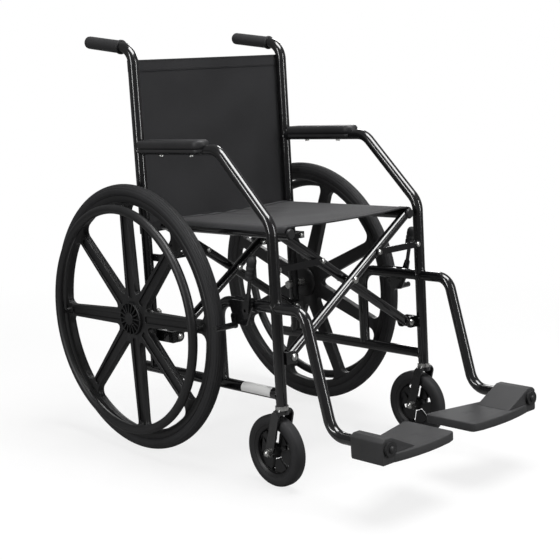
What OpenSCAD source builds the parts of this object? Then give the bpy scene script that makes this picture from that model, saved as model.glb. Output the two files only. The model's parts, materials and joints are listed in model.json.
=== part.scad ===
// Manual folding wheelchair. Millimetres, +Z up, the sitter faces -Y.
// "r" nodes are on the sitter's right (-X), "l" nodes on the left (+X).
// Places along the chair are measured from the rear axle; chair() moves the
// whole model so that its origin is on the floor under its middle.

/* [Frame] */
// Distance between the tube planes of the two side frames
frame_w = 420; // [360:10:500]
// Outer diameter of the frame tubes
tube_d = 22; // [19:0.5:25]
// Wall of the frame tubes
tube_wall = 1.5; // [1:0.25:2.5]
// Front uprights ahead of the rear axle
upright_y = 395; // [370:5:460]
// Height of the lower rail's centre line
lower_z = 187; // [180:1:215]
// Height of the footrest tube's centre line
mid_z = 357; // [340:1:380]
// Height of the arm tube's centre line
arm_z = 657; // [620:5:720]
// Height at which the handle's centre line would cross the back cane
handle_z = 865; // [820:5:980]
// Upward tilt of the push handles
handle_tilt = 8; // [3:1:10]
// Reach of the push handles behind the back canes
handle_reach = 153; // [133:2:173]
// Bend radius at the top of the back canes
cane_bend = 40; // [34:1:50]
// Bend radius of the arm tube
arm_bend = 45; // [34:1:60]
// Bend radius of the footrest tube
mid_bend = 36; // [30:1:42]
// Length of the arm tube's level part, from the back cane
arm_level = 252; // [240:2:290]
// Rear leg of the footrest tube ahead of the axle
loop_y = 225; // [200:5:250]
// Where the hanger starts down, ahead of the axle
hanger_y = 471; // [466:1:480]
// Run of the hanger ahead of its upper corner
hanger_run = 59; // [50:1:70]
// Stub of the lower rail behind the back cane
stub_len = 48; // [36:2:70]

/* [Cross brace] */
// Outer diameter of the cross tubes
cross_d = 20; // [18:0.5:22]
// Gap between two crossing tubes
cross_gap = 2; // [1.5:0.5:4]
// Middle of the rear cross brace ahead of the axle
rear_cross_y = 32; // [31:1:45]
// Inset of the lower pivots from the tube plane
pivot_inset = 26; // [25:1:30]
// Height of the lower pivots
pivot_z = 258; // [245:1:268]
// Height of the middle pivots
centre_z = 380; // [370:1:390]
// Inset of the seat rails from the tube plane
rail_inset = 38; // [37:1:44]
// Radius of the pivot bolts
bolt_r = 4; // [3:0.5:5]
// Distance along the cross tube from its middle to the stay
stay_at = 85; // [70:1:95]
// Thickness of the stays and lugs
plate_t = 4; // [3:0.5:5]
// Width of a stay bar
stay_w = 13; // [11:1:16]

/* [Upholstery] */
// Thickness of the fabric
fabric_t = 2.5; // [1.5:0.5:4]
// Height of the back panel's top edge
back_top = 842; // [780:2:900]
// Height of the back panel's bottom edge
back_bottom = 478; // [460:2:500]

/* [Arm pads] */
// Length of an arm pad
pad_len = 202; // [190:2:212]
// Width of an arm pad
pad_w = 40; // [34:1:40]
// Height of an arm pad
pad_h = 24; // [20:1:30]
// Outward shift of the pads from the tube plane
pad_shift = 4; // [4:0.5:8]

/* [Rear wheels] */
// Diameter of the rear tyres
wheel_d = 568; // [540:4:590]
// Centre plane of a rear wheel outside its tube plane
wheel_out = 45; // [42:1:60]
// Height of the rear axle before the frame is tipped back onto its wheels
axle_z = 305; // [296:1:314]
// Width of a rear tyre
tyre_w = 30; // [25:1:34]
// Height of a rear tyre's section
tyre_h = 24; // [21:1:27]
// Radial depth of the rim
rim_depth = 15; // [13:1:20]
// Width of the rim
rim_w = 24; // [20:1:28]
// Radius of the hub
hub_r = 36; // [30:1:42]
// Width of the hub
hub_w = 30; // [26:1:34]
// Number of spokes
spokes = 8; // [5:1:10]
// Width of a spoke at the rim
spoke_w = 30; // [20:1:36]
// Thickness of a spoke
spoke_t = 16; // [12:1:17]
// Radius of the hand rim's centre line
handrim_r = 235; // [200:5:250]
// Thickness of the hand rim
handrim_d = 19; // [15:1:22]
// Centre plane of the hand rim outside the wheel's plane
handrim_out = 35; // [34:1:48]
// Radius of the rear axle
axle_r = 6; // [5:0.5:8]

/* [Casters] */
// Diameter of the casters
caster_d = 144; // [125:1:150]
// Trail of the caster axle behind its stem
trail = 22; // [15:1:30]
// Width of a caster tyre
caster_w = 28; // [22:1:32]
// Height of a caster tyre's section
caster_tyre_h = 20; // [16:1:24]
// Radius of the caster stem
stem_r = 6; // [5:0.5:7]
// Thickness of the fork's arms
fork_t = 4; // [3:0.5:5]

/* [Footrests] */
// Height of the footplate's hinge line
foot_z = 130; // [122:1:140]
// Rear edge of a footplate ahead of the axle
foot_rear = 548; // [546:1:560]
// Front edge of a footplate ahead of the axle
foot_front = 680; // [660:2:720]
// Inner edge of a footplate from the middle of the chair
foot_inner = 28; // [20:1:60]
// Thickness of a footplate
foot_t = 17; // [12:1:20]
// Height of a footplate's top
foot_top = 119; // [114:1:120]
// Length of the hinge housing
housing_len = 78; // [60:1:80]
// Height of the hinge housing
housing_h = 48; // [40:1:54]

/* [Brakes] */
// Brake bracket's middle ahead of the axle
brake_y = 318; // [314:1:330]
// Diameter of the brake grip
brake_grip_d = 19; // [15:1:22]
// Length of the brake grip
brake_grip_len = 46; // [38:1:60]
// Height of the brake grip's top
brake_top = 457; // [440:1:480]

/* [Hidden] */
$fn = 64;
tr = tube_d / 2;

run = 0.05;                 // radial clearance of a running fit
cope = 0.02;                // gap left where one tube is coped over another
saddle = tr * 0.55;         // how far a coped end stays off the other tube's centre line
free = 0.3;                 // gap between pieces that move past each other
cut = 1;                    // how far a cutting tool passes a face
bore = tr - tube_wall;
fx = frame_w / 2;           // tube plane
cr = cross_d / 2;
wheel_r = wheel_d / 2;
caster_r = caster_d / 2;

// cross brace
px = fx - pivot_inset;
rx = fx - rail_inset;
open_a = atan((centre_z - pivot_z) / px);
rail_z = centre_z + rx * tan(open_a);
pitch = cross_d + cross_gap;
front_a = -upright_y;                  // planes of the tubes, A ahead of B
front_b = front_a + pitch;
rear_a = -rear_cross_y - pitch / 2;
rear_b = rear_a + pitch;
stay_x = stay_at * cos(open_a);
stay_z = centre_z + stay_at * sin(open_a);
stay_pin_x = fx - tr - 9;
rail_front = -upright_y - 10;
rail_rear = -16;

// wheels
wx = fx + wheel_out;
rim_r = wheel_r - tyre_h;
fork_gap = caster_w / 2 + 3;
crown_z = caster_d + 5;
crown_t = 8;
collar_h = 8;
collar_z = crown_z + crown_t + free;
upright_end = collar_z + collar_h;

// footrests
corner_y = -hanger_y - hanger_run;
housing_front = -(foot_front - 10);
housing_rear = housing_front + housing_len;
housing_x = fx + 18;
knob_t = 6;
knob_head = 5;
// the side frames are drawn level with the casters' lowest point at zero; the chair stands
// tipped back by this angle, so that all four wheels meet the floor
caster_ahead = upright_y - trail;
tip = atan((axle_z - caster_r) / caster_ahead) - asin((wheel_r - caster_r) / norm([caster_ahead, axle_z - caster_r]));
front_reach = foot_front * cos(tip) + (axle_z - foot_top + foot_t) * sin(tip);
axle_y = (front_reach - wheel_r) / 2;   // places the origin under the middle
foot_bottom = foot_top - foot_t;

// brakes
brake_px = fx + tr + 4;                // inner face of the bracket plate
lever_y = -brake_y - 12;
lever_z = mid_z - 8;
shoe_y = -brake_y + 24;
shoe_z = mid_z - 22;
shoe_r = 6;
shoe_gap = 7;
shoe_bar_z = 318;
shoe_bar_y = -sqrt(pow(wheel_r + shoe_gap + shoe_r, 2) - pow(shoe_bar_z - axle_z, 2));

module chair() { translate([0, axle_y, wheel_r]) rotate([-tip, 0, 0]) translate([0, 0, -axle_z]) children(); }
module left() { children(); }
module right() { mirror([1, 0, 0]) children(); }
// (u, v) of a flat drawing become (y, z); its thickness runs along X
module yz(x = 0) { translate([x, 0, 0]) rotate([90, 0, 90]) children(); }
// a cylinder along X, centred on (y, z)
module rod_x(r, x0, x1, y, z) { translate([x0, y, z]) rotate([0, 90, 0]) cylinder(r = r, h = x1 - x0); }
// a cylinder along Y, centred on (x, z)
module rod_y(r, y0, y1, x, z) { translate([x, y1, z]) rotate([90, 0, 0]) cylinder(r = r, h = y1 - y0); }

function unit(v) = v / norm(v);
// tangent length of the bend at corner i of a path
function turn(p, i) = let (a = unit(p[i] - p[i - 1]), b = unit(p[i + 1] - p[i]))
    atan2(a[0] * b[1] - a[1] * b[0], a * b);
function tangent(p, r, i) = (i == 0 || i == len(p) - 1) ? 0 : r[i] * tan(abs(turn(p, i)) / 2);

// a round bar along a flat path, bent at its corners to radii r; the bends
// swell a little and the straights lap into them
swell = 0.1;
lap = 1;
module bent(p, r, radius) {
    for (i = [0 : len(p) - 2]) {
        d = unit(p[i + 1] - p[i]);
        a = p[i] + d * (i == 0 ? 0 : tangent(p, r, i) - lap);
        b = p[i + 1] - d * (i == len(p) - 2 ? 0 : tangent(p, r, i + 1) - lap);
        translate([a[0], a[1], 0]) rotate([0, 0, atan2(d[1], d[0])])
            rotate([0, 90, 0]) cylinder(r = radius, h = norm(b - a));
    }
    for (i = [1 : 1 : len(p) - 2]) {
        d = unit(p[i] - p[i - 1]);
        s = sign(turn(p, i));
        c = p[i] - d * tangent(p, r, i) + s * r[i] * [-d[1], d[0]];
        e = p[i] - d * tangent(p, r, i) - c;
        start = atan2(e[1], e[0]) + min(0, turn(p, i));
        translate([c[0], c[1], 0]) rotate([0, 0, start])
            rotate_extrude(angle = abs(turn(p, i))) translate([r[i], 0]) circle(r = radius + swell);
    }
}

module bolt_head(r = 6, h = 4) { rotate_extrude() polygon([[0, 0], [r, 0], [r, h * 0.45], [r * 0.8, h * 0.85], [r * 0.4, h], [0, h]]); }
module acorn(r = 7, h = 10) {
    cylinder(r = r, h = h * 0.45, $fn = 6);
    translate([0, 0, h * 0.45]) intersection() { cylinder(r = r * 0.85, h = h); translate([0, 0, -1]) sphere(r = r * 0.95); }
}

// ---- paths of the side frame, as (y, z)
cane_end = [handle_reach, handle_z + handle_reach * tan(handle_tilt)];
cane_path = [[0, lower_z + saddle], [0, handle_z], cane_end];
arm_path = [[-saddle, arm_z], [-arm_level, arm_z], [-upright_y, arm_z - (upright_y - arm_level)], [-upright_y, upright_end]];
foot_path = [[-loop_y, lower_z + saddle], [-loop_y, mid_z], [-hanger_y, mid_z], [corner_y, foot_z], [housing_front + 6, foot_z]];

module cane_bar(r) { yz(fx) bent(cane_path, [0, cane_bend, 0], r); }
module arm_bar(r) { yz(fx) bent(arm_path, [0, arm_bend, arm_bend, 0], r); }
module foot_bar(r) { yz(fx) bent(foot_path, [0, mid_bend, mid_bend - 4, mid_bend + 4, 0], r); }
module lower_bar(r) { rod_y(r, saddle - upright_y, stub_len, fx, lower_z); }

// ---- brackets welded to the uprights
ear_gap = cr + free;
// a U bracket whose two ears take the foot of the cross tube in plane y
module clevis(y, reach) {
    for (s = [-1, 1])
        translate([0, y + s * (ear_gap + plate_t / 2), 0]) rotate([90, 0, 0])
            translate([0, 0, -plate_t / 2]) linear_extrude(plate_t) union() {
                translate([px, pivot_z]) circle(r = 12);
                translate([px, pivot_z - 12]) square([fx - tr + 3 - px, 24]);
            }
    y0 = min(y - ear_gap - plate_t, reach - 4);
    y1 = max(y + ear_gap + plate_t, reach + 4);
    translate([fx - tr - 1.5, y0, pivot_z - 12]) cube([6, y1 - y0, 24]);
}
// a lug that carries the pin of a stay; its front face is at y
module stay_lug(y, reach) {
    translate([0, y + plate_t, 0]) rotate([90, 0, 0]) linear_extrude(plate_t) union() {
        translate([stay_pin_x, stay_z]) circle(r = stay_w / 2 + 1);
        translate([stay_pin_x, stay_z - stay_w / 2 - 1]) square([fx - tr + 3 - stay_pin_x, stay_w + 2]);
    }
    y0 = min(y, reach - 4);
    y1 = max(y + plate_t, reach + 4);
    translate([fx - tr - 1.5, y0, stay_z - stay_w / 2 - 1]) cube([5.5, y1 - y0, stay_w + 2]);
}
// planes of the stays: each lies on the front of the tube that it holds
function stay_y(plane) = plane - cr - free - plate_t;
function lug_y(plane) = stay_y(plane) + plate_t + free;

// side: 1 takes the feet of the B tubes and holds stays on A, -1 the other way round
module back_cane(side) color("#1b1b1d") difference() {
    union() {
        cane_bar(tr);
        clevis(side > 0 ? rear_b : rear_a, -tr / 2);
        stay_lug(lug_y(side > 0 ? rear_a : rear_b), -tr / 2);
    }
    cane_bar(bore);
    lower_bar(tr + cope);
    rod_x(axle_r + run, fx - tr - cut, fx + tr + cut, 0, axle_z);
    pivot_hole(side > 0 ? rear_b : rear_a);
    stay_hole(side > 0 ? rear_a : rear_b);
}
module pivot_hole(y) { rod_y(bolt_r + run, y - ear_gap - plate_t - cut, y + ear_gap + plate_t + cut, px, pivot_z); }
module stay_hole(y) { rod_y(bolt_r, lug_y(y) - cut, lug_y(y) + plate_t + cut, stay_pin_x, stay_z); }

module arm_tube(side) color("#1b1b1d") difference() {
    union() {
        arm_bar(tr);
        clevis(side > 0 ? front_b : front_a, -upright_y);
        stay_lug(lug_y(side > 0 ? front_a : front_b), -upright_y);
    }
    arm_bar(bore);
    cane_bar(tr + cope);
    pivot_hole(side > 0 ? front_b : front_a);
    stay_hole(side > 0 ? front_a : front_b);
}

module lower_rail() color("#1b1b1d") difference() {
    lower_bar(tr);
    rod_y(bore, -upright_y - cut, stub_len + cut, fx, lower_z);
    translate([fx, -upright_y, lower_z - 2 * tr]) cylinder(r = tr + cope, h = 4 * tr);
}

module footrest_tube() color("#1b1b1d") difference() {
    foot_bar(tr);
    foot_bar(bore);
    lower_bar(tr + cope);
    translate([fx, -upright_y, mid_z - 2 * tr]) cylinder(r = tr + cope, h = 4 * tr);
}

module rail_plug() color("#232325") {
    rod_y(bore, stub_len - 14, stub_len, fx, lower_z);
    translate([fx, stub_len + 4, lower_z]) rotate([90, 0, 0]) cylinder(r = tr, h = 4);
}

module rail_label() color("#e6e6e4") difference() {
    rod_y(tr + 0.4, -374, -290, fx, lower_z);
    rod_y(tr, -374 - cut, -290 + cut, fx, lower_z);
    translate([fx - tr - cut, -374 - cut, lower_z - tr - cut]) cube([tr * 2, 86, tr * 0.7]);
}

module push_grip() color("#262628") yz(fx) difference() {
    d = unit(cane_path[2] - cane_path[1]);
    s = cane_path[2] - d * 117;
    translate([s[0], s[1], 0]) rotate([0, 0, handle_tilt]) rotate([0, 90, 0]) union() {
        cylinder(r = tr + 4.2, h = 5);
        translate([0, 0, 5]) cylinder(r = tr + 2.4, h = 113);
        translate([0, 0, 118]) cylinder(r1 = tr + 2.4, r2 = tr - 1, h = 4);
        for (i = [0 : 9]) translate([0, 0, 14 + i * 10]) cylinder(r = tr + 3, h = 5);
    }
    translate([s[0], s[1], 0]) rotate([0, 0, handle_tilt]) rotate([0, 90, 0]) translate([0, 0, -cut]) cylinder(r = tr, h = 117 + cut);
}

// ---- arm pads
pad_x = fx + pad_shift;
pad_z = arm_z - 4;
pad_rear = -tr - 9;
pad_front = pad_rear - pad_len;
module arm_pad() color("#303033") difference() {
    intersection() {
        translate([pad_x, 0, 0]) linear_extrude(arm_z + 100) hull() {
            translate([-pad_w / 2 + 3, pad_rear - 3]) circle(r = 3);
            translate([pad_w / 2 - 3, pad_rear - 3]) circle(r = 3);
            translate([0, pad_front + pad_w / 2 + 2]) circle(r = pad_w / 2);
        }
        translate([pad_x, pad_rear, pad_z]) rotate([90, 0, 0]) linear_extrude(pad_len) hull() {
            translate([-pad_w / 2, 0]) square([pad_w, 4]);
            for (s = [-1, 1]) translate([s * (pad_w / 2 - 9), pad_h - 9]) circle(r = 9);
        }
    }
    arm_bar(tr);
    for (y = pad_screws) translate([fx, y, pad_z - cut]) cylinder(r = 2, h = 15 + cut);
}
pad_screws = [-72, -170];

// ---- bolts fixed in a side frame: lower pivots, stay pins, pad screws
module pivot_bolt(y) {
    rod_y(bolt_r, y - ear_gap - plate_t, y + ear_gap + plate_t, px, pivot_z);
    translate([px, y - ear_gap - plate_t, pivot_z]) rotate([90, 0, 0]) bolt_head(7, 5);
    translate([px, y + ear_gap + plate_t, pivot_z]) rotate([-90, 0, 0]) acorn(7, 9);
}
module stay_pin(y) {
    rod_y(bolt_r, stay_y(y) - free, lug_y(y) + plate_t, stay_pin_x, stay_z);
    translate([stay_pin_x, stay_y(y) - free, stay_z]) rotate([90, 0, 0]) bolt_head(5.5, 4);
}
module pad_screw(y) { translate([fx, y, arm_z - tr - 3]) union() { cylinder(r = 2, h = pad_z + 12 - arm_z + tr + 3); cylinder(r = 4.5, h = 3); } }
module frame_bolts(side) color("#c9c9c6") {
    for (y = side > 0 ? [front_b, rear_b] : [front_a, rear_a]) pivot_bolt(y);
    for (y = side > 0 ? [front_a, rear_a] : [front_b, rear_b]) stay_pin(y);
    for (y = pad_screws) difference() { pad_screw(y); arm_bar_wall(y); }
}
// the tube's wall round a pad screw stays whole: the screw is cut to the bore
module arm_bar_wall(y) { difference() { rod_y(tr, y - 8, y + 8, fx, arm_z); rod_y(bore, y - 9, y + 9, fx, arm_z); } }

// ---- cross brace
// a tube in plane y that leans over to the right rail (way 1) or the left
module cross_tube(y, way, r = cr, extra = 0) {
    foot = [-way * px, pivot_z];
    top = [way * rx, rail_z];
    d = unit(top - foot);
    a = foot - d * extra;
    translate([a[0], y, a[1]]) rotate([0, 90 - atan2(d[1], d[0]), 0]) cylinder(r = r, h = norm(top - foot) + extra);
    if (extra == 0) translate([foot[0], y, foot[1]]) rotate([90, 0, 0]) translate([0, 0, -r]) intersection() { cylinder(r = r, h = 2 * r); rotate([-90, 0, 0]) translate([0, -r, 0]) sphere(r = r); }
}
module cross_pair(ya, yb, way) color("#1d1d1f") difference() {
    for (y = [ya, yb]) cross_tube(y, way);
    for (y = [ya, yb]) cross_tube(y, way, cr - tube_wall, -cr - 6);
    rod_y(tr + cope, rail_front - 6, rail_rear + 6, way * rx, rail_z);
    for (y = [ya, yb]) {
        rod_y(bolt_r + run, y - cr - cut, y + cr + cut, -way * px, pivot_z);
        rod_y(bolt_r + (way > 0 ? 0 : run), y - cr - cut, y + cr + cut, 0, centre_z);
    }
}
module seat_rail(way) color("#1b1b1d") difference() {
    rod_y(tr, rail_front, rail_rear, way * rx, rail_z);
    rod_y(bore, rail_front - cut, rail_rear + cut, way * rx, rail_z);
}
module seat_rail_caps(way) color("#202022") for (end = [[rail_front, -1], [rail_rear, 1]]) {
    translate([way * rx, end[0], rail_z]) rotate([end[1] < 0 ? 90 : -90, 0, 0]) union() {
        translate([0, 0, -12]) cylinder(r = bore, h = 12);
        cylinder(r1 = tr, r2 = tr - 2.5, h = 3.5);
    }
}
// bolts through the middle of the cross, fixed in the A tubes
module cross_bolts() color("#c9c9c6") for (y = [front_a, rear_a]) {
    rod_y(bolt_r, y - cr, y + pitch + cr, 0, centre_z);
    translate([0, y - cr, centre_z]) rotate([90, 0, 0]) bolt_head(7, 5);
    translate([0, y + pitch + cr + free, centre_z]) rotate([-90, 0, 0]) acorn(7, 9);
    rod_y(bolt_r, y + pitch + cr, y + pitch + cr + free, 0, centre_z);
}
// stays: flat bars from the upright's lug to the upper half of a cross tube
module stay_bar(y) difference() {
    translate([0, y + plate_t, 0]) rotate([90, 0, 0]) linear_extrude(plate_t) union() {
        translate([stay_pin_x, stay_z]) circle(r = stay_w / 2);
        translate([stay_x, stay_z]) circle(r = stay_w / 2);
        translate([stay_x, stay_z - stay_w / 2]) square([stay_pin_x - stay_x, stay_w]);
    }
    rod_y(bolt_r + run, y - cut, y + plate_t + cut, stay_pin_x, stay_z);
    rod_y(bolt_r, y - cut, y + plate_t + cut, stay_x, stay_z);
}
module stays(side) color("#222224") for (p = side > 0 ? [front_a, rear_a] : [front_b, rear_b]) stay_bar(stay_y(p));
module stay_bolts(side) color("#c9c9c6") for (p = side > 0 ? [front_a, rear_a] : [front_b, rear_b]) {
    rod_y(bolt_r, stay_y(p), stay_y(p) + plate_t, stay_x, stay_z);
    translate([stay_x, stay_y(p), stay_z]) rotate([90, 0, 0]) bolt_head(5.5, 4);
}

// ---- upholstery
module seat_sling() color("#3a3a3d") difference() {
    translate([0, rail_rear - 6, rail_z]) rotate([90, 0, 0]) linear_extrude(rail_rear - 6 - rail_front - 4) difference() {
        union() {
            for (s = [-1, 1]) translate([s * rx, 0]) circle(r = tr + free + fabric_t);
            translate([-rx, tr + free]) square([2 * rx, fabric_t]);
        }
        for (s = [-1, 1]) translate([s * rx, 0]) circle(r = tr + free);
        for (s = [-1, 1]) translate([s * rx - 20, -40]) square([40, 40 - 3]);
    }
    for (y = [front_a, rear_a]) cross_tube(y, 1, cr + free, 10);
    for (y = [front_b, rear_b]) cross_tube(y, -1, cr + free, 10);
}
// the top corners stop short of the canes, which bend back there
bend_start = handle_z - cane_bend * tan((90 - handle_tilt) / 2);
module back_sling() color("#38383b") difference() {
    translate([-fx - 6, tr + free, back_bottom]) cube([2 * fx + 12, fabric_t, back_top - back_bottom]);
    for (s = [-1, 1]) translate([s * fx - tr - 2, 0, bend_start - 3]) cube([2 * tr + 4, 40, 100]);
}

// ---- rear wheels: outward is +X
spoke_phase = 4;
lag_r = -5.3;                // how far each wheel has rolled on from its drawing
lag_l = 16.5;
spoke_step = 360 / spokes;
spoke_end = rim_r - rim_depth + 1.5;
function polar(r, a) = [r * cos(a), r * sin(a)];
function turned(p, a) = [p[0] * cos(a) - p[1] * sin(a), p[0] * sin(a) + p[1] * cos(a)];
// half of a spoke's outline, from the hub outwards: [along, across]
spoke_half = [[hub_r + 18, spoke_w / 2 + 1], [spoke_end - 24, spoke_w / 2 - 3], [spoke_end - 6, spoke_w / 2 + 3], [spoke_end + 1, spoke_w / 2 + 13]];
spider = [for (i = [0 : spokes - 1]) let (a = i * spoke_step + spoke_phase) each concat(
    [for (p = spoke_half) turned([p[0], -p[1]], a)],
    [for (k = [3 : -1 : 0]) turned(spoke_half[k], a)],
    [polar(hub_r + 10, a + spoke_step / 2)])];
module wheel_rim(lag) color("#2b2b2d") translate([wx, 0, axle_z]) rotate([0, 90, 0]) rotate([0, 0, lag]) difference() {
    union() {
        rotate_extrude($fn = 128) polygon([
            [rim_r - rim_depth, -rim_w / 2 + 3], [rim_r - 8, -rim_w / 2], [rim_r, -rim_w / 2], [rim_r - 5, -rim_w / 2 + 6],
            [rim_r - 5, rim_w / 2 - 6], [rim_r, rim_w / 2], [rim_r - 8, rim_w / 2], [rim_r - rim_depth, rim_w / 2 - 3]]);
        translate([0, 0, -spoke_t / 2]) linear_extrude(spoke_t) polygon(spider);
        translate([0, 0, -hub_w / 2]) cylinder(r = hub_r, h = hub_w);
        translate([0, 0, hub_w / 2 - 1]) cylinder(r1 = hub_r - 3, r2 = hub_r - 9, h = 4);
        for (i = [0 : 11]) rotate([0, 0, i * 30 + 10]) translate([13, -1.5, hub_w / 2 - 2]) cube([hub_r - 20, 3, 6]);
        rim_posts();
    }
    for (i = [0 : spokes - 1]) rotate([0, 0, i * spoke_step + spoke_phase])
        translate([hub_r + 8, -spoke_w / 2 + 8, spoke_t / 2 - 4]) cube([handrim_r - hub_r - 16, spoke_w - 16, 10]);
    translate([0, 0, -hub_w]) cylinder(r = axle_r + run, h = 2 * hub_w);
    translate([0, 0, hub_w / 2 - 4]) cylinder(r = 11, h = 20);
}
// posts on every second spoke that carry the hand rim
module rim_post() { translate([handrim_r, 0, 1]) cylinder(r = 6, h = handrim_out - 5); }
module rim_posts() for (i = [0 : 2 : spokes - 1]) rotate([0, 0, i * 360 / spokes + spoke_phase]) rim_post();
module wheel_tyre() color("#3b3b3d") translate([wx, 0, axle_z]) rotate([0, 90, 0]) union() {
    difference() {
        rotate_extrude($fn = 128) translate([wheel_r - tyre_w / 2, 0]) circle(r = tyre_w / 2, $fn = 48);
        translate([0, 0, -tyre_w]) cylinder(r = rim_r + 1, h = 2 * tyre_w, $fn = 128);
    }
    rotate_extrude($fn = 128) polygon([
        [rim_r - 5, -rim_w / 2 + 6], [rim_r - 5, rim_w / 2 - 6], [rim_r, rim_w / 2 - 6], [rim_r, rim_w / 2 - 1],
        [wheel_r - tyre_w / 2 + 3, tyre_w / 2 - 2], [wheel_r - tyre_w / 2 + 3, -tyre_w / 2 + 2], [rim_r, -rim_w / 2 + 1], [rim_r, -rim_w / 2 + 6]]);
}
module hand_rim(lag) color("#2c2c2e") translate([wx + handrim_out, 0, axle_z]) rotate([0, 90, 0]) rotate([0, 0, lag]) difference() {
    rotate_extrude($fn = 128) translate([handrim_r, 0]) circle(r = handrim_d / 2);
    translate([0, 0, -handrim_out]) rim_posts();
}
module wheel_axle() color("#bdbdba") {
    rod_x(axle_r, fx - tr - 8, wx + hub_w / 2 + 2, 0, axle_z);
    rod_x(10, fx + tr + free, wx - hub_w / 2 - free, 0, axle_z);
    translate([fx - tr, 0, axle_z]) rotate([0, -90, 0]) cylinder(r = 10, h = 8, $fn = 6);
    rod_x(10, wx + hub_w / 2 - 4 + free, wx + hub_w / 2 + 2, 0, axle_z);
}

// ---- casters
stem_y = -upright_y;
caster_y = stem_y + trail;
module caster_bearing() color("#d8d8d4") difference() {
    translate([fx, stem_y, 0]) union() {
        translate([0, 0, collar_z]) cylinder(r = tr + 2, h = collar_h);
        translate([0, 0, collar_z + collar_h]) cylinder(r = bore, h = 22);
    }
    translate([fx, stem_y, 0]) cylinder(r = stem_r + run, h = 400);
}
module caster_fork() color("#202022") difference() {
    union() {
        translate([fx, stem_y, crown_z + 2]) cylinder(r = stem_r, h = collar_h + crown_t + 26);
        translate([fx, 0, 0]) for (s = [-1, 1]) translate([s > 0 ? fork_gap : -fork_gap - fork_t, 0, 0]) rotate([90, 0, 90]) linear_extrude(fork_t) hull() {
            translate([stem_y, crown_z - 2]) circle(r = 10);
            translate([caster_y, caster_r]) circle(r = 11);
        }
        translate([fx, stem_y, crown_z]) linear_extrude(crown_t) hull() for (s = [-1, 1]) translate([s * (fork_gap + fork_t - 8), 0]) circle(r = 8);
        translate([fx, stem_y, crown_z]) cylinder(r = 14, h = crown_t);
    }
    rod_x(4, fx - 60, fx + 60, caster_y, caster_r);
}
module caster_axle() color("#deded9") translate([fx, caster_y, caster_r]) {
    e = fork_gap + fork_t;
    rotate([0, 90, 0]) translate([0, 0, -e]) cylinder(r = 4, h = 2 * e);
    translate([e, 0, 0]) rotate([0, 90, 0]) acorn(8, 11);
    translate([-e, 0, 0]) rotate([0, -90, 0]) acorn(8, 11);
}
caster_rim_r = caster_r - caster_tyre_h;
module caster_rim() color("#1e1e20") translate([fx, caster_y, caster_r]) rotate([0, 90, 0]) difference() {
    union() {
        rotate_extrude() polygon([[caster_rim_r - 7, -caster_w / 2 + 5], [caster_rim_r, -caster_w / 2 + 3], [caster_rim_r, caster_w / 2 - 3], [caster_rim_r - 7, caster_w / 2 - 5]]);
        for (i = [0 : 5]) rotate([0, 0, i * 60 + 12]) translate([8, -4, -4]) cube([caster_rim_r - 12, 8, 8]);
        translate([0, 0, -fork_gap + 1]) cylinder(r = 12, h = 2 * fork_gap - 2);
    }
    translate([0, 0, -40]) cylinder(r = 4 + run, h = 80);
}
module caster_tyre() color("#3d3d3f") translate([fx, caster_y, caster_r]) rotate([0, 90, 0]) rotate_extrude() difference() {
    hull() {
        translate([caster_r - caster_w / 2, 0]) circle(r = caster_w / 2);
        translate([caster_rim_r, -caster_w / 2 + 2]) square([2, caster_w - 4]);
    }
    translate([caster_rim_r - 30, -caster_w]) square([30, 2 * caster_w]);
}

// ---- footplates, hinged on the level end of the hanger
module footplate() color("#6f6f70") difference() {
    union() {
        intersection() {
            translate([0, 0, foot_bottom]) linear_extrude(foot_t) hull() {
                translate([foot_inner + 10, -foot_rear - 10]) circle(r = 10);
                translate([housing_x - 14, -foot_rear - 14]) circle(r = 4);
                translate([foot_inner + 10, -foot_front + 12]) circle(r = 10);
                translate([(foot_inner + housing_x) / 2, -foot_front + 60]) circle(r = 60);
                translate([housing_x - 16, -foot_front + 28]) circle(r = 16);
            }
            translate([0, -foot_front, 0]) cube([housing_x, foot_front - foot_rear, 400]);
        }
        rotate([90, 0, 0]) translate([0, 0, -housing_rear]) linear_extrude(housing_len) polygon([
            [housing_x - 2, foot_bottom], [housing_x, foot_bottom + 2], [housing_x, foot_bottom + housing_h - 8], [housing_x - 6, foot_bottom + housing_h],
            [housing_x - 24, foot_bottom + housing_h], [housing_x - 30, foot_bottom + housing_h - 3], [housing_x - 88, foot_top], [housing_x - 88, foot_bottom]]);
    }
    rod_y(tr + run, -foot_front - cut, -foot_rear + 30, fx, foot_z);
    // room for the hanger's bend behind the housing
    translate([fx - tr - 3, housing_rear, foot_bottom - cut]) cube([60, 100, 100]);
}
module footplate_knob() color("#2a2a2c") {
    rod_y(bore, housing_front - 2, housing_front + 24, fx, foot_z);
    translate([fx, housing_front - free, foot_z]) rotate([90, 0, 0]) cylinder(r = tr + 3, h = knob_t);
    translate([fx, housing_front - free - knob_t, foot_z]) rotate([90, 0, 0]) bolt_head(7, knob_head);
}

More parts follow.
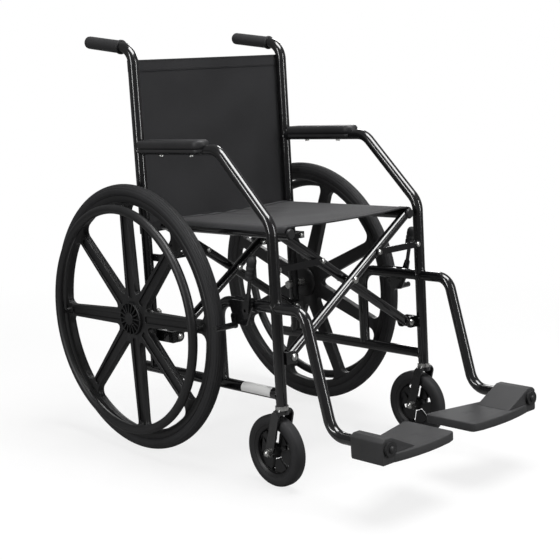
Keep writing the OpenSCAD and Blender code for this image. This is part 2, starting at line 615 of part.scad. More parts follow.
// ---- brakes
module brake_bracket() color("#1f1f21") difference() {
    union() {
        yz(brake_px) linear_extrude(plate_t) hull() {
            translate([-brake_y + 30, mid_z + 2]) circle(r = 8);
            translate([-brake_y - 20, mid_z + 2]) circle(r = 8);
            translate([-brake_y + 20, mid_z - 30]) circle(r = 7);
            translate([-brake_y - 4, mid_z - 32]) circle(r = 7);
        }
        for (y = [-brake_y + 26, -brake_y - 16]) translate([0, y, mid_z]) difference() {
            rotate([90, 0, 0]) translate([fx, 0, -7]) cylinder(r = tr + 3, h = 14);
            translate([fx - tr - 10, -10, -tr - 10]) cube([tr + 10, 20, 2 * tr + 20]);
        }
        for (y = [-brake_y + 26, -brake_y - 16]) translate([fx, y - 7, mid_z - 9]) cube([brake_px - fx + 1, 14, 18]);
    }
    rod_y(tr, -brake_y - 60, -brake_y + 60, fx, mid_z);
    rod_x(bolt_r - 1, brake_px - cut, brake_px + 20, lever_y, lever_z);
    rod_x(bolt_r - 1, brake_px - cut, brake_px + 20, shoe_y, shoe_z);
}
lever_x = brake_px + plate_t + free;
lever_knee = [lever_y - 11, lever_z + 30];
lever_end = [lever_y - 27, brake_top - 10];
lever_dir = unit(lever_end - lever_knee);
// along the lever's rod, from its knee
module on_rod(s) { translate([lever_x + plate_t / 2, lever_knee[0] + lever_dir[0] * s, lever_knee[1] + lever_dir[1] * s]) rotate([atan2(-lever_dir[0], lever_dir[1]), 0, 0]) children(); }
rod_len = norm(lever_end - lever_knee);
module brake_lever() color("#1f1f21") difference() {
    union() {
        yz(lever_x) linear_extrude(plate_t) hull() { translate([lever_y, lever_z]) circle(r = 9); translate(lever_knee) circle(r = 6); }
        on_rod(-8) cylinder(r = 4, h = rod_len + 8);
    }
    rod_x(bolt_r - 1 + run, lever_x - cut, lever_x + 20, lever_y, lever_z);
}
module brake_grip() color("#2d2d2f") difference() {
    on_rod(rod_len + 10 - brake_grip_len) union() {
        cylinder(r = brake_grip_d / 2, h = brake_grip_len - brake_grip_d / 2);
        translate([0, 0, brake_grip_len - brake_grip_d / 2]) sphere(r = brake_grip_d / 2);
    }
    on_rod(-8) cylinder(r = 4, h = rod_len + 8);
}
module brake_shoe() color("#252527") difference() {
    union() {
        yz(lever_x) linear_extrude(plate_t) hull() { translate([shoe_y, shoe_z]) circle(r = 7); translate([shoe_bar_y, shoe_bar_z]) circle(r = 7); }
        rod_x(shoe_r, lever_x, wx + 28, shoe_bar_y, shoe_bar_z);
    }
    rod_x(bolt_r - 1 + run, lever_x - cut, lever_x + 20, shoe_y, shoe_z);
}

chair() right() back_cane(-1);  // back_cane_r
chair() back_cane(1);  // back_cane_l
chair() right() arm_tube(-1);  // arm_tube_r
chair() arm_tube(1);  // arm_tube_l
chair() right() lower_rail();  // lower_rail_r
chair() lower_rail();  // lower_rail_l
chair() right() footrest_tube();  // footrest_tube_r
chair() footrest_tube();  // footrest_tube_l
chair() right() rail_plug();  // rail_plug_r
chair() rail_plug();  // rail_plug_l
chair() right() rail_label();
chair() right() push_grip();  // push_grip_r
chair() push_grip();  // push_grip_l
chair() right() arm_pad();  // arm_pad_r
chair() arm_pad();  // arm_pad_l
chair() right() frame_bolts(-1);  // frame_bolts_r
chair() frame_bolts(1);  // frame_bolts_l
chair() cross_pair(front_a, rear_a, 1);  // cross_tubes_a
chair() cross_pair(front_b, rear_b, -1);  // cross_tubes_b
chair() seat_rail(1);  // seat_rail_a
chair() seat_rail(-1);  // seat_rail_b
chair() seat_rail_caps(1);  // seat_rail_caps_a
chair() seat_rail_caps(-1);  // seat_rail_caps_b
chair() cross_bolts();  // cross_bolts_a
chair() right() stays(-1);  // stays_r
chair() stays(1);  // stays_l
chair() right() stay_bolts(-1);  // stay_bolts_r
chair() stay_bolts(1);  // stay_bolts_l
chair() seat_sling();
chair() back_sling();
chair() right() wheel_rim(lag_r);  // wheel_rim_r
chair() wheel_rim(lag_l);  // wheel_rim_l
chair() right() wheel_tyre();  // wheel_tyre_r
chair() wheel_tyre();  // wheel_tyre_l
chair() right() hand_rim(lag_r);  // hand_rim_r
chair() hand_rim(lag_l);  // hand_rim_l
chair() right() wheel_axle();  // wheel_axle_r
chair() wheel_axle();  // wheel_axle_l
chair() right() caster_bearing();  // caster_bearing_r
chair() caster_bearing();  // caster_bearing_l
chair() right() caster_fork();  // caster_fork_r
chair() caster_fork();  // caster_fork_l
chair() right() caster_axle();  // caster_axle_r
chair() caster_axle();  // caster_axle_l
chair() right() caster_rim();  // caster_rim_r
chair() caster_rim();  // caster_rim_l
chair() right() caster_tyre();  // caster_tyre_r
chair() caster_tyre();  // caster_tyre_l
chair() right() footplate();  // footplate_r
chair() footplate();  // footplate_l
chair() right() footplate_knob();  // footplate_knob_r
chair() footplate_knob();  // footplate_knob_l
chair() right() brake_bracket();  // brake_bracket_r
chair() brake_bracket();  // brake_bracket_l
chair() right() brake_lever();  // brake_lever_r
chair() brake_lever();  // brake_lever_l
chair() right() brake_grip();  // brake_grip_r
chair() brake_grip();  // brake_grip_l
chair() right() brake_shoe();  // brake_shoe_r
chair() brake_shoe();  // brake_shoe_l
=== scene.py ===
"""Looks of a folding manual wheelchair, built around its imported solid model.

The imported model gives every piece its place. This script dresses the tubes,
bolts and castings of that model, and models the tyres, moulded wheels, pads,
grips, slings and footplates afresh where a plain solid isn't enough.
"""

from __future__ import annotations

import json
import logging
import math
from dataclasses import dataclass, field
from enum import Enum
from typing import Callable, Sequence

import bmesh
import bpy
from mathutils import Matrix, Vector

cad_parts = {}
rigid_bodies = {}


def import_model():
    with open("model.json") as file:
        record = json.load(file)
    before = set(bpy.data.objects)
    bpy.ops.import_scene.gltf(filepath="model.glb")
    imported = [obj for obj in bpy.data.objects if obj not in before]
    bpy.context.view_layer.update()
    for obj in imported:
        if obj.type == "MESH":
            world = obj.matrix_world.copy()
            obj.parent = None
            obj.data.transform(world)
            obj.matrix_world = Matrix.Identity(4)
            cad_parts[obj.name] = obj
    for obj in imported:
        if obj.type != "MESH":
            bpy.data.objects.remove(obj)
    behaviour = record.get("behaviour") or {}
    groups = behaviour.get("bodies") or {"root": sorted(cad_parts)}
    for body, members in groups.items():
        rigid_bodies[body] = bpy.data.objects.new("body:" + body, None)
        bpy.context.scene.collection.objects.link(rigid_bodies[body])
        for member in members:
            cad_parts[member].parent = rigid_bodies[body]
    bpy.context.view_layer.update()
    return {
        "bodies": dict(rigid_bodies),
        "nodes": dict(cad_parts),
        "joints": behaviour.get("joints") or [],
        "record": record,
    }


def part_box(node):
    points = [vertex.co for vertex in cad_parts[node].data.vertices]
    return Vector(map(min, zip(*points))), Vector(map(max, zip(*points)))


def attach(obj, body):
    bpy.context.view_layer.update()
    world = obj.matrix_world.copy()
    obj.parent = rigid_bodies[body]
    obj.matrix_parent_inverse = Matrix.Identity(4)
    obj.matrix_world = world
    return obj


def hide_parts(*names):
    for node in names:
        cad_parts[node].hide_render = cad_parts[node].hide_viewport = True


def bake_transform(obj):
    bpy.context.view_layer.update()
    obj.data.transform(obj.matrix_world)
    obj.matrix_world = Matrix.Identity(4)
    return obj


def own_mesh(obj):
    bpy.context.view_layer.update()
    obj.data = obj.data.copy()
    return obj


LOG = logging.getLogger("wheelchair")
TUBE_MIDDLE = 0.0111  # from a frame tube's box face to its middle, with the mesh's slack
UPRIGHT_AHEAD = 0.395  # front upright, ahead of the rear axle
LEG_AHEAD = 0.225  # rear leg of the footrest tube, ahead of the rear axle
HAND_RIM_R = 0.235  # radius of the hand rim's ring
Pair = tuple[float, float]
Triple = tuple[float, float, float]
X_AXIS = Vector((1.0, 0.0, 0.0))
Y_AXIS = Vector((0.0, 1.0, 0.0))
Z_AXIS = Vector((0.0, 0.0, 1.0))


class Side(Enum):
    """The sitter's left or right, with the sign of X there."""

    LEFT = ("l", 1.0)
    RIGHT = ("r", -1.0)

    @property
    def tag(self) -> str:
        """Letter that ends the names of this side's pieces."""
        return self.value[0]

    def body(self, name: str) -> str:
        """Name of this side's copy of a body."""
        return f"{name}_{self.tag.upper()}"


# --------------------------------------------------------------------------
# workshop: selecting, joining and finishing meshes
# --------------------------------------------------------------------------


def deselect_all() -> None:
    """Leave edit mode and deselect every object."""
    if bpy.context.mode != "OBJECT":
        bpy.ops.object.mode_set(mode="OBJECT")
    bpy.ops.object.select_all(action="DESELECT")


def pick(piece: bpy.types.Object) -> None:
    """Select one object alone and make it the active one.

    Args:
        piece: the object to work on.
    """
    deselect_all()
    piece.select_set(True)
    bpy.context.view_layer.objects.active = piece


def settle(piece: bpy.types.Object, name: str) -> bpy.types.Object:
    """Name a piece and move its place, turn and scale into its mesh.

    Args:
        piece: a new mesh object.
        name: the piece's final name.

    Returns:
        The same object, at the origin and unturned.
    """
    pick(piece)
    bpy.ops.object.transform_apply(location=True, rotation=True, scale=True)
    piece.name = name
    piece.data.name = name
    return piece


def modify(piece: bpy.types.Object, kind: str, **settings: object) -> None:
    """Add a modifier to a piece and apply it.

    Args:
        piece: the mesh object to change.
        kind: the modifier's type, such as "BEVEL".
        settings: the modifier's own values.
    """
    pick(piece)
    modifier = piece.modifiers.new(kind.title(), kind)
    for key, value in settings.items():
        setattr(modifier, key, value)
    bpy.ops.object.modifier_apply(modifier=modifier.name)


def smooth(piece: bpy.types.Object, degrees: float = 35.0) -> None:
    """Shade a piece smooth, keeping edges sharper than an angle crisp.

    Args:
        piece: the mesh object to shade.
        degrees: faces that meet at more than this stay crisp.
    """
    pick(piece)
    bpy.ops.object.shade_smooth_by_angle(angle=math.radians(degrees))


def tidy_normals(piece: bpy.types.Object, merge: float = 1e-5) -> None:
    """Merge doubled points and turn all faces outwards.

    Args:
        piece: the mesh object to clean.
        merge: points nearer than this become one, in metres.
    """
    pick(piece)
    bpy.ops.object.mode_set(mode="EDIT")
    bpy.ops.mesh.select_all(action="SELECT")
    bpy.ops.mesh.remove_doubles(threshold=merge)
    bpy.ops.mesh.normals_make_consistent(inside=False)
    bpy.ops.object.mode_set(mode="OBJECT")


def joined(pieces: Sequence[bpy.types.Object], name: str) -> bpy.types.Object:
    """Join several pieces into one object.

    Args:
        pieces: the objects to join; the first one stays.
        name: the joined piece's name.

    Returns:
        The joined object.
    """
    deselect_all()
    for piece in pieces:
        piece.select_set(True)
    bpy.context.view_layer.objects.active = pieces[0]
    if len(pieces) > 1:
        bpy.ops.object.join()
    return settle(pieces[0], name)


def mirrored(piece: bpy.types.Object, name: str) -> bpy.types.Object:
    """Copy a piece of the left side to the right side.

    Args:
        piece: the finished piece on the left.
        name: the copy's name.

    Returns:
        The copy, mirrored in X, with its own mesh and its faces outwards.
    """
    twin = piece.copy()
    twin.data = piece.data.copy()
    bpy.context.scene.collection.objects.link(twin)
    twin.data.transform(Matrix.Scale(-1.0, 4, X_AXIS))
    twin.data.flip_normals()
    twin.name = name
    twin.data.name = name
    return twin


def facing(axis: Vector, centre: Vector) -> Matrix:
    """Placement that turns local Z to an axis.

    Args:
        axis: where local Z should point.
        centre: where local zero should lie.

    Returns:
        A 4 by 4 matrix; for an axis along X, local X becomes Y.
    """
    z = axis.normalized()
    x = Y_AXIS if abs(z.dot(X_AXIS)) > 0.9 else X_AXIS
    x = (x - z * x.dot(z)).normalized()
    y = z.cross(x)
    turn = Matrix((x, y, z)).transposed().to_4x4()
    return Matrix.Translation(centre) @ turn


def spun(
    name: str, profile: Sequence[Pair], centre: Vector, axis: Vector, steps: int, ring: bool = True
) -> bpy.types.Object:
    """Turn a profile about an axis, as on a lathe.

    Args:
        name: the piece's name.
        profile: (radius, along) points in metres.
        centre: a point on the axis that "along" is counted from.
        axis: the direction of "along".
        steps: number of segments round the axis.
        ring: True if the profile is a closed loop clear of the axis.

    Returns:
        The turned piece.
    """
    deselect_all()
    bpy.ops.mesh.primitive_circle_add(vertices=max(3, len(profile)), fill_type="NOTHING")
    piece = bpy.context.active_object
    bpy.ops.object.mode_set(mode="EDIT")
    mesh = bmesh.from_edit_mesh(piece.data)
    mesh.verts.ensure_lookup_table()
    for vert, (radius, along) in zip(mesh.verts, profile):
        vert.co = Vector((radius, 0.0, along))
    if not ring:
        ends = {mesh.verts[0], mesh.verts[len(profile) - 1]}
        for edge in [e for e in mesh.edges if set(e.verts) == ends]:
            mesh.edges.remove(edge)
    bmesh.update_edit_mesh(piece.data)
    bpy.ops.mesh.select_all(action="SELECT")
    bpy.ops.mesh.spin(steps=steps, angle=2.0 * math.pi, center=(0.0, 0.0, 0.0), axis=(0.0, 0.0, 1.0))
    bpy.ops.object.mode_set(mode="OBJECT")
    tidy_normals(piece)
    piece.matrix_world = facing(axis, centre)
    return settle(piece, name)


def plate(
    name: str, outlines: Sequence[Sequence[Pair]], thickness: float, bevel: float, place: Matrix,
    rounds: int = 2
) -> bpy.types.Object:
    """A flat plate with rounded edges, cut to an outline with holes in it.

    Args:
        name: the piece's name.
        outlines: closed outlines in metres; those inside another are holes.
        thickness: the plate's whole thickness.
        bevel: radius of the rounded edges.
        place: where the middle of the plate goes; its thickness is along local Z.
        rounds: segments of the rounded edges.

    Returns:
        The plate as a mesh.
    """
    curve = bpy.data.curves.new(name, "CURVE")
    curve.dimensions = "2D"
    curve.fill_mode = "BOTH"
    curve.extrude = max(thickness / 2 - bevel, 1e-5)
    curve.bevel_depth = bevel
    curve.bevel_resolution = rounds
    curve.offset = -bevel
    for outline in outlines:
        spline = curve.splines.new("POLY")
        spline.points.add(len(outline) - 1)
        for point, (u, v) in zip(spline.points, outline):
            point.co = (u, v, 0.0, 1.0)
        spline.use_cyclic_u = True
    piece = bpy.data.objects.new(name, curve)
    bpy.context.scene.collection.objects.link(piece)
    pick(piece)
    bpy.ops.object.convert(target="MESH")
    piece = bpy.context.active_object
    tidy_normals(piece)
    piece.matrix_world = place
    return settle(piece, name)


def block(name: str, size: Triple, centre: Vector, bevel: float, turn: Matrix | None = None) -> bpy.types.Object:
    """A small block with bevelled edges.

    Args:
        name: the piece's name.
        size: its size along X, Y and Z in metres.
        centre: its middle.
        bevel: width of the bevel.
        turn: a turn about the middle, if it isn't square to the axes.

    Returns:
        The block.
    """
    deselect_all()
    bpy.ops.mesh.primitive_cube_add(size=1.0)
    piece = bpy.context.active_object
    piece.scale = size
    bpy.ops.object.transform_apply(scale=True)
    bpy.ops.object.mode_set(mode="EDIT")
    bpy.ops.mesh.select_all(action="SELECT")
    bpy.ops.mesh.bevel(offset=bevel, segments=2, affect="EDGES")
    bpy.ops.object.mode_set(mode="OBJECT")
    piece.matrix_world = Matrix.Translation(centre) @ (turn or Matrix.Identity(4))
    return settle(piece, name)


def rounded(corners: Sequence[Pair], radii: Sequence[float], segments: int = 6) -> list[Pair]:
    """Round the corners of an outline.

    Args:
        corners: the outline's corners in order.
        radii: the radius at each corner; zero keeps it sharp.
        segments: points per rounded corner, less one.

    Returns:
        The points of the rounded outline.
    """
    points: list[Pair] = []
    count = len(corners)
    for i, (corner, radius) in enumerate(zip(corners, radii)):
        here = Vector(corner)
        back = (Vector(corners[i - 1]) - here).normalized()
        on = (Vector(corners[(i + 1) % count]) - here).normalized()
        angle = back.angle(on, math.pi)
        if radius <= 0 or angle > math.radians(178):
            points.append((here.x, here.y))
            continue
        reach = radius / math.tan(angle / 2)
        centre = here + (back + on).normalized() * (radius / math.sin(angle / 2))
        start = here + back * reach - centre
        sweep = math.pi - angle
        way = 1.0 if back.x * on.y - back.y * on.x < 0 else -1.0
        for k in range(segments + 1):
            turn = way * sweep * k / segments
            points.append((
                centre.x + start.x * math.cos(turn) - start.y * math.sin(turn),
                centre.y + start.x * math.sin(turn) + start.y * math.cos(turn),
            ))
    return points


def arc(radius: float, start: float, end: float, steps: int, about: Pair = (0.0, 0.0)) -> list[Pair]:
    """Points along a circular arc.

    Args:
        radius: the arc's radius.
        start: first angle in degrees.
        end: last angle in degrees.
        steps: number of segments.
        about: the arc's centre.

    Returns:
        The points, ends included.
    """
    angles = [math.radians(start + (end - start) * k / steps) for k in range(steps + 1)]
    return [(about[0] + radius * math.cos(a), about[1] + radius * math.sin(a)) for a in angles]


def swung(points: Sequence[Pair], degrees: float) -> list[Pair]:
    """Turn flat points about zero."""
    c, s = math.cos(math.radians(degrees)), math.sin(math.radians(degrees))
    return [(x * c - y * s, x * s + y * c) for x, y in points]


# --------------------------------------------------------------------------
# finishes
# --------------------------------------------------------------------------


class Groups:
    """Shader node groups that several finishes share."""

    def __init__(self) -> None:
        """Build every group once."""
        self.mottle = self._mottle()
        self.grain = self._grain()
        self.weave = self._weave()
        self.scuffs = self._scuffs()

    @staticmethod
    def _new(name: str, inputs: dict[str, float], outputs: Sequence[str]) -> bpy.types.NodeTree:
        """Make an empty group that reads object coordinates.

        Args:
            name: the group's name.
            inputs: its float inputs and their usual values.
            outputs: its float outputs.

        Returns:
            The group, with its input and output nodes named "in" and "out".
        """
        tree = bpy.data.node_groups.new(name, "ShaderNodeTree")
        tree.interface.new_socket("Vector", in_out="INPUT", socket_type="NodeSocketVector")
        for key, value in inputs.items():
            socket = tree.interface.new_socket(key, in_out="INPUT", socket_type="NodeSocketFloat")
            socket.default_value = value
        for key in outputs:
            tree.interface.new_socket(key, in_out="OUTPUT", socket_type="NodeSocketFloat")
        tree.nodes.new("NodeGroupInput").name = "in"
        tree.nodes.new("NodeGroupOutput").name = "out"
        return tree

    @staticmethod
    def _math(tree: bpy.types.NodeTree, kind: str, first: object, second: object = None) -> bpy.types.NodeSocket:
        """Add a math node.

        Args:
            tree: the group to add it to.
            kind: the operation.
            first: a socket or a number.
            second: a socket or a number, where the operation has two.

        Returns:
            The node's output socket.
        """
        node = tree.nodes.new("ShaderNodeMath")
        node.operation = kind
        for i, value in enumerate((first, second)):
            if isinstance(value, (int, float)):
                node.inputs[i].default_value = value
            elif value is not None:
                tree.links.new(value, node.inputs[i])
        return node.outputs[0]

    def _noise(
        self, tree: bpy.types.NodeTree, scale: object, detail: float, stretch: Triple = (1.0, 1.0, 1.0)
    ) -> bpy.types.NodeSocket:
        """Add a noise texture on the group's vector.

        Args:
            tree: the group to add it to.
            scale: a socket or a number.
            detail: the noise's detail.
            stretch: scale of the pattern along each axis.

        Returns:
            The noise's value, 0 to 1.
        """
        mapping = tree.nodes.new("ShaderNodeMapping")
        mapping.inputs["Scale"].default_value = stretch
        tree.links.new(tree.nodes["in"].outputs["Vector"], mapping.inputs["Vector"])
        noise = tree.nodes.new("ShaderNodeTexNoise")
        noise.inputs["Detail"].default_value = detail
        tree.links.new(mapping.outputs["Vector"], noise.inputs["Vector"])
        if isinstance(scale, (int, float)):
            noise.inputs["Scale"].default_value = scale
        else:
            tree.links.new(scale, noise.inputs["Scale"])
        return noise.outputs["Fac"]

    def _mottle(self) -> bpy.types.NodeTree:
        """Slow light and dark patches, for colour and roughness."""
        tree = self._new("slow mottle", {"Scale": 9.0, "Contrast": 1.0}, ["Value"])
        inp = tree.nodes["in"].outputs
        wide = self._noise(tree, inp["Scale"], 2.0)
        fine = self._noise(tree, self._math(tree, "MULTIPLY", inp["Scale"], 7.0), 4.0)
        both = self._math(tree, "ADD", self._math(tree, "MULTIPLY", wide, 0.7), self._math(tree, "MULTIPLY", fine, 0.3))
        swing = self._math(tree, "MULTIPLY", self._math(tree, "SUBTRACT", both, 0.5), inp["Contrast"])
        tree.links.new(self._math(tree, "ADD", swing, 0.5), tree.nodes["out"].inputs["Value"])
        return tree

    def _grain(self) -> bpy.types.NodeTree:
        """Fine pebbled height of moulded plastic or skinned foam."""
        tree = self._new("moulded grain", {"Scale": 900.0, "Depth": 1.0}, ["Height"])
        inp = tree.nodes["in"].outputs
        cells = tree.nodes.new("ShaderNodeTexVoronoi")
        cells.feature = "SMOOTH_F1"
        tree.links.new(inp["Vector"], cells.inputs["Vector"])
        tree.links.new(inp["Scale"], cells.inputs["Scale"])
        soft = self._noise(tree, self._math(tree, "MULTIPLY", inp["Scale"], 0.4), 3.0)
        both = self._math(tree, "ADD", cells.outputs["Distance"], self._math(tree, "MULTIPLY", soft, 0.6))
        tree.links.new(self._math(tree, "MULTIPLY", both, inp["Depth"]), tree.nodes["out"].inputs["Height"])
        return tree

    def _weave(self) -> bpy.types.NodeTree:
        """Over and under threads of a plain nylon weave, on the piece's own map, with painted shade: Shade is darker in
        the dips between threads and lighter on their crowns, plus the slub's random tone.
        """
        tree = self._new("plain weave", {"Pitch": 0.0011, "Slub": 0.2}, ["Height", "Shade"])
        inp = tree.nodes["in"].outputs
        split = tree.nodes.new("ShaderNodeSeparateXYZ")
        tree.links.new(inp["Vector"], split.inputs[0])
        turns = self._math(tree, "DIVIDE", 2.0 * math.pi, inp["Pitch"])
        across = self._math(tree, "SINE", self._math(tree, "MULTIPLY", split.outputs["X"], turns))
        along = self._math(tree, "SINE", self._math(tree, "MULTIPLY", split.outputs["Y"], turns))
        threads = self._math(tree, "MULTIPLY", across, along)
        slub = self._math(tree, "MULTIPLY", self._noise(tree, 60.0, 3.0, (1.0, 14.0, 1.0)), inp["Slub"])
        height = self._math(tree, "ADD", self._math(tree, "MULTIPLY", threads, 0.5), slub)
        tree.links.new(height, tree.nodes["out"].inputs["Height"])
        # Shade is painted shade that follows the thread height, darker in the dips and lighter on the crowns, plus the
        # slub's random tone
        tree.links.new(
            self._math(tree, "ADD", self._math(tree, "MULTIPLY", threads, 0.25), self._math(tree, "ADD", slub, 0.4)),
            tree.nodes["out"].inputs["Shade"]
        )
        return tree

    def _scuffs(self) -> bpy.types.NodeTree:
        """Sparse dull marks left by use."""
        tree = self._new("use scuffs", {"Scale": 40.0, "Amount": 0.3}, ["Mask"])
        inp = tree.nodes["in"].outputs
        long = self._noise(tree, inp["Scale"], 5.0, (1.0, 1.0, 0.25))
        patches = self._noise(tree, 6.0, 1.0)
        raw = self._math(
            tree, "MULTIPLY", self._math(tree, "SUBTRACT", long, 0.56),
            self._math(tree, "MULTIPLY", patches, 9.0)
        )
        clean = self._math(tree, "MINIMUM", self._math(tree, "MAXIMUM", raw, 0.0), 1.0)
        tree.links.new(self._math(tree, "MULTIPLY", clean, inp["Amount"]), tree.nodes["out"].inputs["Mask"])
        return tree


@dataclass(frozen=True)
class Finish:
    """One finish of the chair and how its material is made.

    Colours are linear. Depths are in metres.
    """

    slot: str
    dark: Triple
    light: Triple
    rough: float
    rough_swing: float = 0.08
    metallic: float = 0.0
    coat: float = 0.0
    coat_rough: float = 0.05
    sheen: float = 0.0
    specular: float = 0.5
    mottle_scale: float = 9.0
    grain_scale: float = 0.0
    grain_depth: float = 0.0
    weave_pitch: float = 0.0
    scuff: float = 0.0

    def material(self, groups: Groups) -> bpy.types.Material:
        """Build the material.

        Args:
            groups: the shared node groups.

        Returns:
            The finished material, named after its slot.
        """
        material = bpy.data.materials.new(self.slot)
        material.use_nodes = True
        tree = material.node_tree
        shader = tree.nodes["Principled BSDF"]
        shader.inputs["Metallic"].default_value = self.metallic
        shader.inputs["Coat Weight"].default_value = self.coat
        shader.inputs["Coat Roughness"].default_value = self.coat_rough
        shader.inputs["Sheen Weight"].default_value = self.sheen
        shader.inputs["Specular IOR Level"].default_value = self.specular
        coords = tree.nodes.new("ShaderNodeTexCoord")
        where = coords.outputs["UV"] if self.weave_pitch else coords.outputs["Object"]

        def group(tree_of: bpy.types.NodeTree, source: bpy.types.NodeSocket, **values: float) -> bpy.types.Node:
            """Place a shared group with its own values."""
            node = tree.nodes.new("ShaderNodeGroup")
            node.node_tree = tree_of
            tree.links.new(source, node.inputs["Vector"])
            for key, value in values.items():
                node.inputs[key].default_value = value
            return node

        mottle = group(groups.mottle, coords.outputs["Object"], Scale=self.mottle_scale, Contrast=1.6)
        scuffs = group(groups.scuffs, coords.outputs["Object"], Scale=45.0, Amount=self.scuff)
        shade = mottle.outputs["Value"]
        height = None
        if self.weave_pitch:
            # woven finishes add the weave's painted shade between the threads to the random mottle tone of the colour
            weave = group(groups.weave, where, Pitch=self.weave_pitch, Slub=0.25)
            blend = tree.nodes.new("ShaderNodeMath")
            blend.operation = "MULTIPLY_ADD"
            blend.inputs[1].default_value = 0.6
            tree.links.new(weave.outputs["Shade"], blend.inputs[0])
            tree.links.new(shade, blend.inputs[2])
            shade, height = blend.outputs[0], weave.outputs["Height"]
        elif self.grain_scale:
            grain = group(groups.grain, where, Scale=self.grain_scale, Depth=1.0)
            height = grain.outputs["Height"]
        ramp = tree.nodes.new("ShaderNodeMix")
        ramp.data_type = "RGBA"
        ramp.inputs["A"].default_value = (*self.dark, 1.0)
        ramp.inputs["B"].default_value = (*self.light, 1.0)
        tree.links.new(shade, ramp.inputs["Factor"])
        tree.links.new(ramp.outputs["Result"], shader.inputs["Base Color"])
        rough = tree.nodes.new("ShaderNodeMath")
        rough.operation = "MULTIPLY_ADD"
        rough.inputs[1].default_value = self.rough_swing
        rough.inputs[2].default_value = self.rough - self.rough_swing / 2
        tree.links.new(mottle.outputs["Value"], rough.inputs[0])
        worn = tree.nodes.new("ShaderNodeMath")
        worn.operation = "ADD"
        worn.use_clamp = True
        tree.links.new(rough.outputs[0], worn.inputs[0])
        tree.links.new(scuffs.outputs["Mask"], worn.inputs[1])
        tree.links.new(worn.outputs[0], shader.inputs["Roughness"])
        if height is not None:
            bump = tree.nodes.new("ShaderNodeBump")
            bump.inputs["Strength"].default_value = 0.6
            bump.inputs["Distance"].default_value = self.grain_depth
            tree.links.new(height, bump.inputs["Height"])
            tree.links.new(bump.outputs["Normal"], shader.inputs["Normal"])
        return material


FINISHES = (
    Finish(
        "frame_black", (0.0035, 0.0035, 0.004), (0.008, 0.008, 0.009), 0.22, 0.06, coat=1.0, coat_rough=0.04,
        mottle_scale=5.0, scuff=0.1
    ),
    Finish(
        "black_plastic", (0.008, 0.008, 0.009), (0.016, 0.016, 0.017), 0.5, grain_scale=1400.0,
        grain_depth=0.00006, scuff=0.1
    ),
    Finish(
        "wheel_plastic", (0.010, 0.010, 0.0105), (0.019, 0.019, 0.020), 0.42, 0.1, grain_scale=1100.0,
        grain_depth=0.00005, scuff=0.15
    ),
    Finish(
        "tyre_rubber", (0.017, 0.017, 0.018), (0.033, 0.033, 0.035), 0.62, 0.12, grain_scale=800.0,
        grain_depth=0.0001, specular=0.4, scuff=0.15
    ),
    Finish(
        "grip_rubber", (0.020, 0.020, 0.021), (0.036, 0.036, 0.038), 0.6, 0.1, grain_scale=1000.0,
        grain_depth=0.0001, specular=0.4, scuff=0.1
    ),
    Finish(
        "pad_foam", (0.020, 0.020, 0.021), (0.034, 0.034, 0.036), 0.5, 0.1, grain_scale=700.0,
        grain_depth=0.00012, scuff=0.1
    ),
    Finish("zinc", (0.50, 0.50, 0.49), (0.74, 0.74, 0.72), 0.28, 0.16, metallic=1.0, mottle_scale=60.0, scuff=0.2),
    Finish(
        "nylon", (0.008, 0.008, 0.009), (0.021, 0.021, 0.023), 0.78, 0.08, sheen=0.15, specular=0.3,
        mottle_scale=4.0, grain_depth=0.00015, weave_pitch=0.0014
    ),
    Finish(
        "footplate_grey", (0.034, 0.034, 0.035), (0.056, 0.056, 0.058), 0.6, 0.1, grain_scale=650.0,
        grain_depth=0.00016, specular=0.4, scuff=0.12
    ),
    Finish("label_white", (0.80, 0.80, 0.79), (0.92, 0.92, 0.91), 0.45, 0.06, mottle_scale=30.0, scuff=0.1),
)


class Paintshop:
    """Holds the finished materials and puts them on pieces."""

    def __init__(self) -> None:
        """Build every finish."""
        groups = Groups()
        self.materials = {finish.slot: finish.material(groups) for finish in FINISHES}

    def coat(self, piece: bpy.types.Object, slot: str) -> None:
        """Give a whole piece one finish.

        Args:
            piece: the mesh object.
            slot: the finish's slot name.
        """
        piece.data.materials.clear()
        piece.data.materials.append(self.materials[slot])

    def dress_nodes(self, frame: dict) -> None:
        """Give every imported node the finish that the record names.
        """
        for entry in frame["record"]["subparts"]:
            node = frame["nodes"].get(entry["node"])
            if node is not None:
                self.coat(node, entry["material_slot"])


@dataclass
class Stance:
    """How the chair, drawn level with its axle at zero, stands tipped back on its wheels."""

    drawn_axle: float = 0.305
    caster_r: float = 0.072
    caster_ahead: float = 0.373
    hub: Vector = field(default_factory=Vector)
    tip: float = 0.0

    def settle_on_floor(self) -> None:
        """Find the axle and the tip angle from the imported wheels."""
        low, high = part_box("wheel_tyre_l")
        self.hub = (Vector(low) + Vector(high)) / 2
        drop = self.drawn_axle - self.caster_r
        slant = math.hypot(self.caster_ahead, drop)
        self.tip = math.atan2(drop, self.caster_ahead) - math.asin((self.hub.z - self.caster_r) / slant)

    @property
    def matrix(self) -> Matrix:
        """Placement that takes the level drawing to the chair as it stands."""
        back = Matrix.Rotation(-self.tip, 4, "X")
        return Matrix.Translation(
            (0.0, self.hub.y, self.hub.z)
        ) @ back @ Matrix.Translation((0.0, 0.0, -self.drawn_axle))


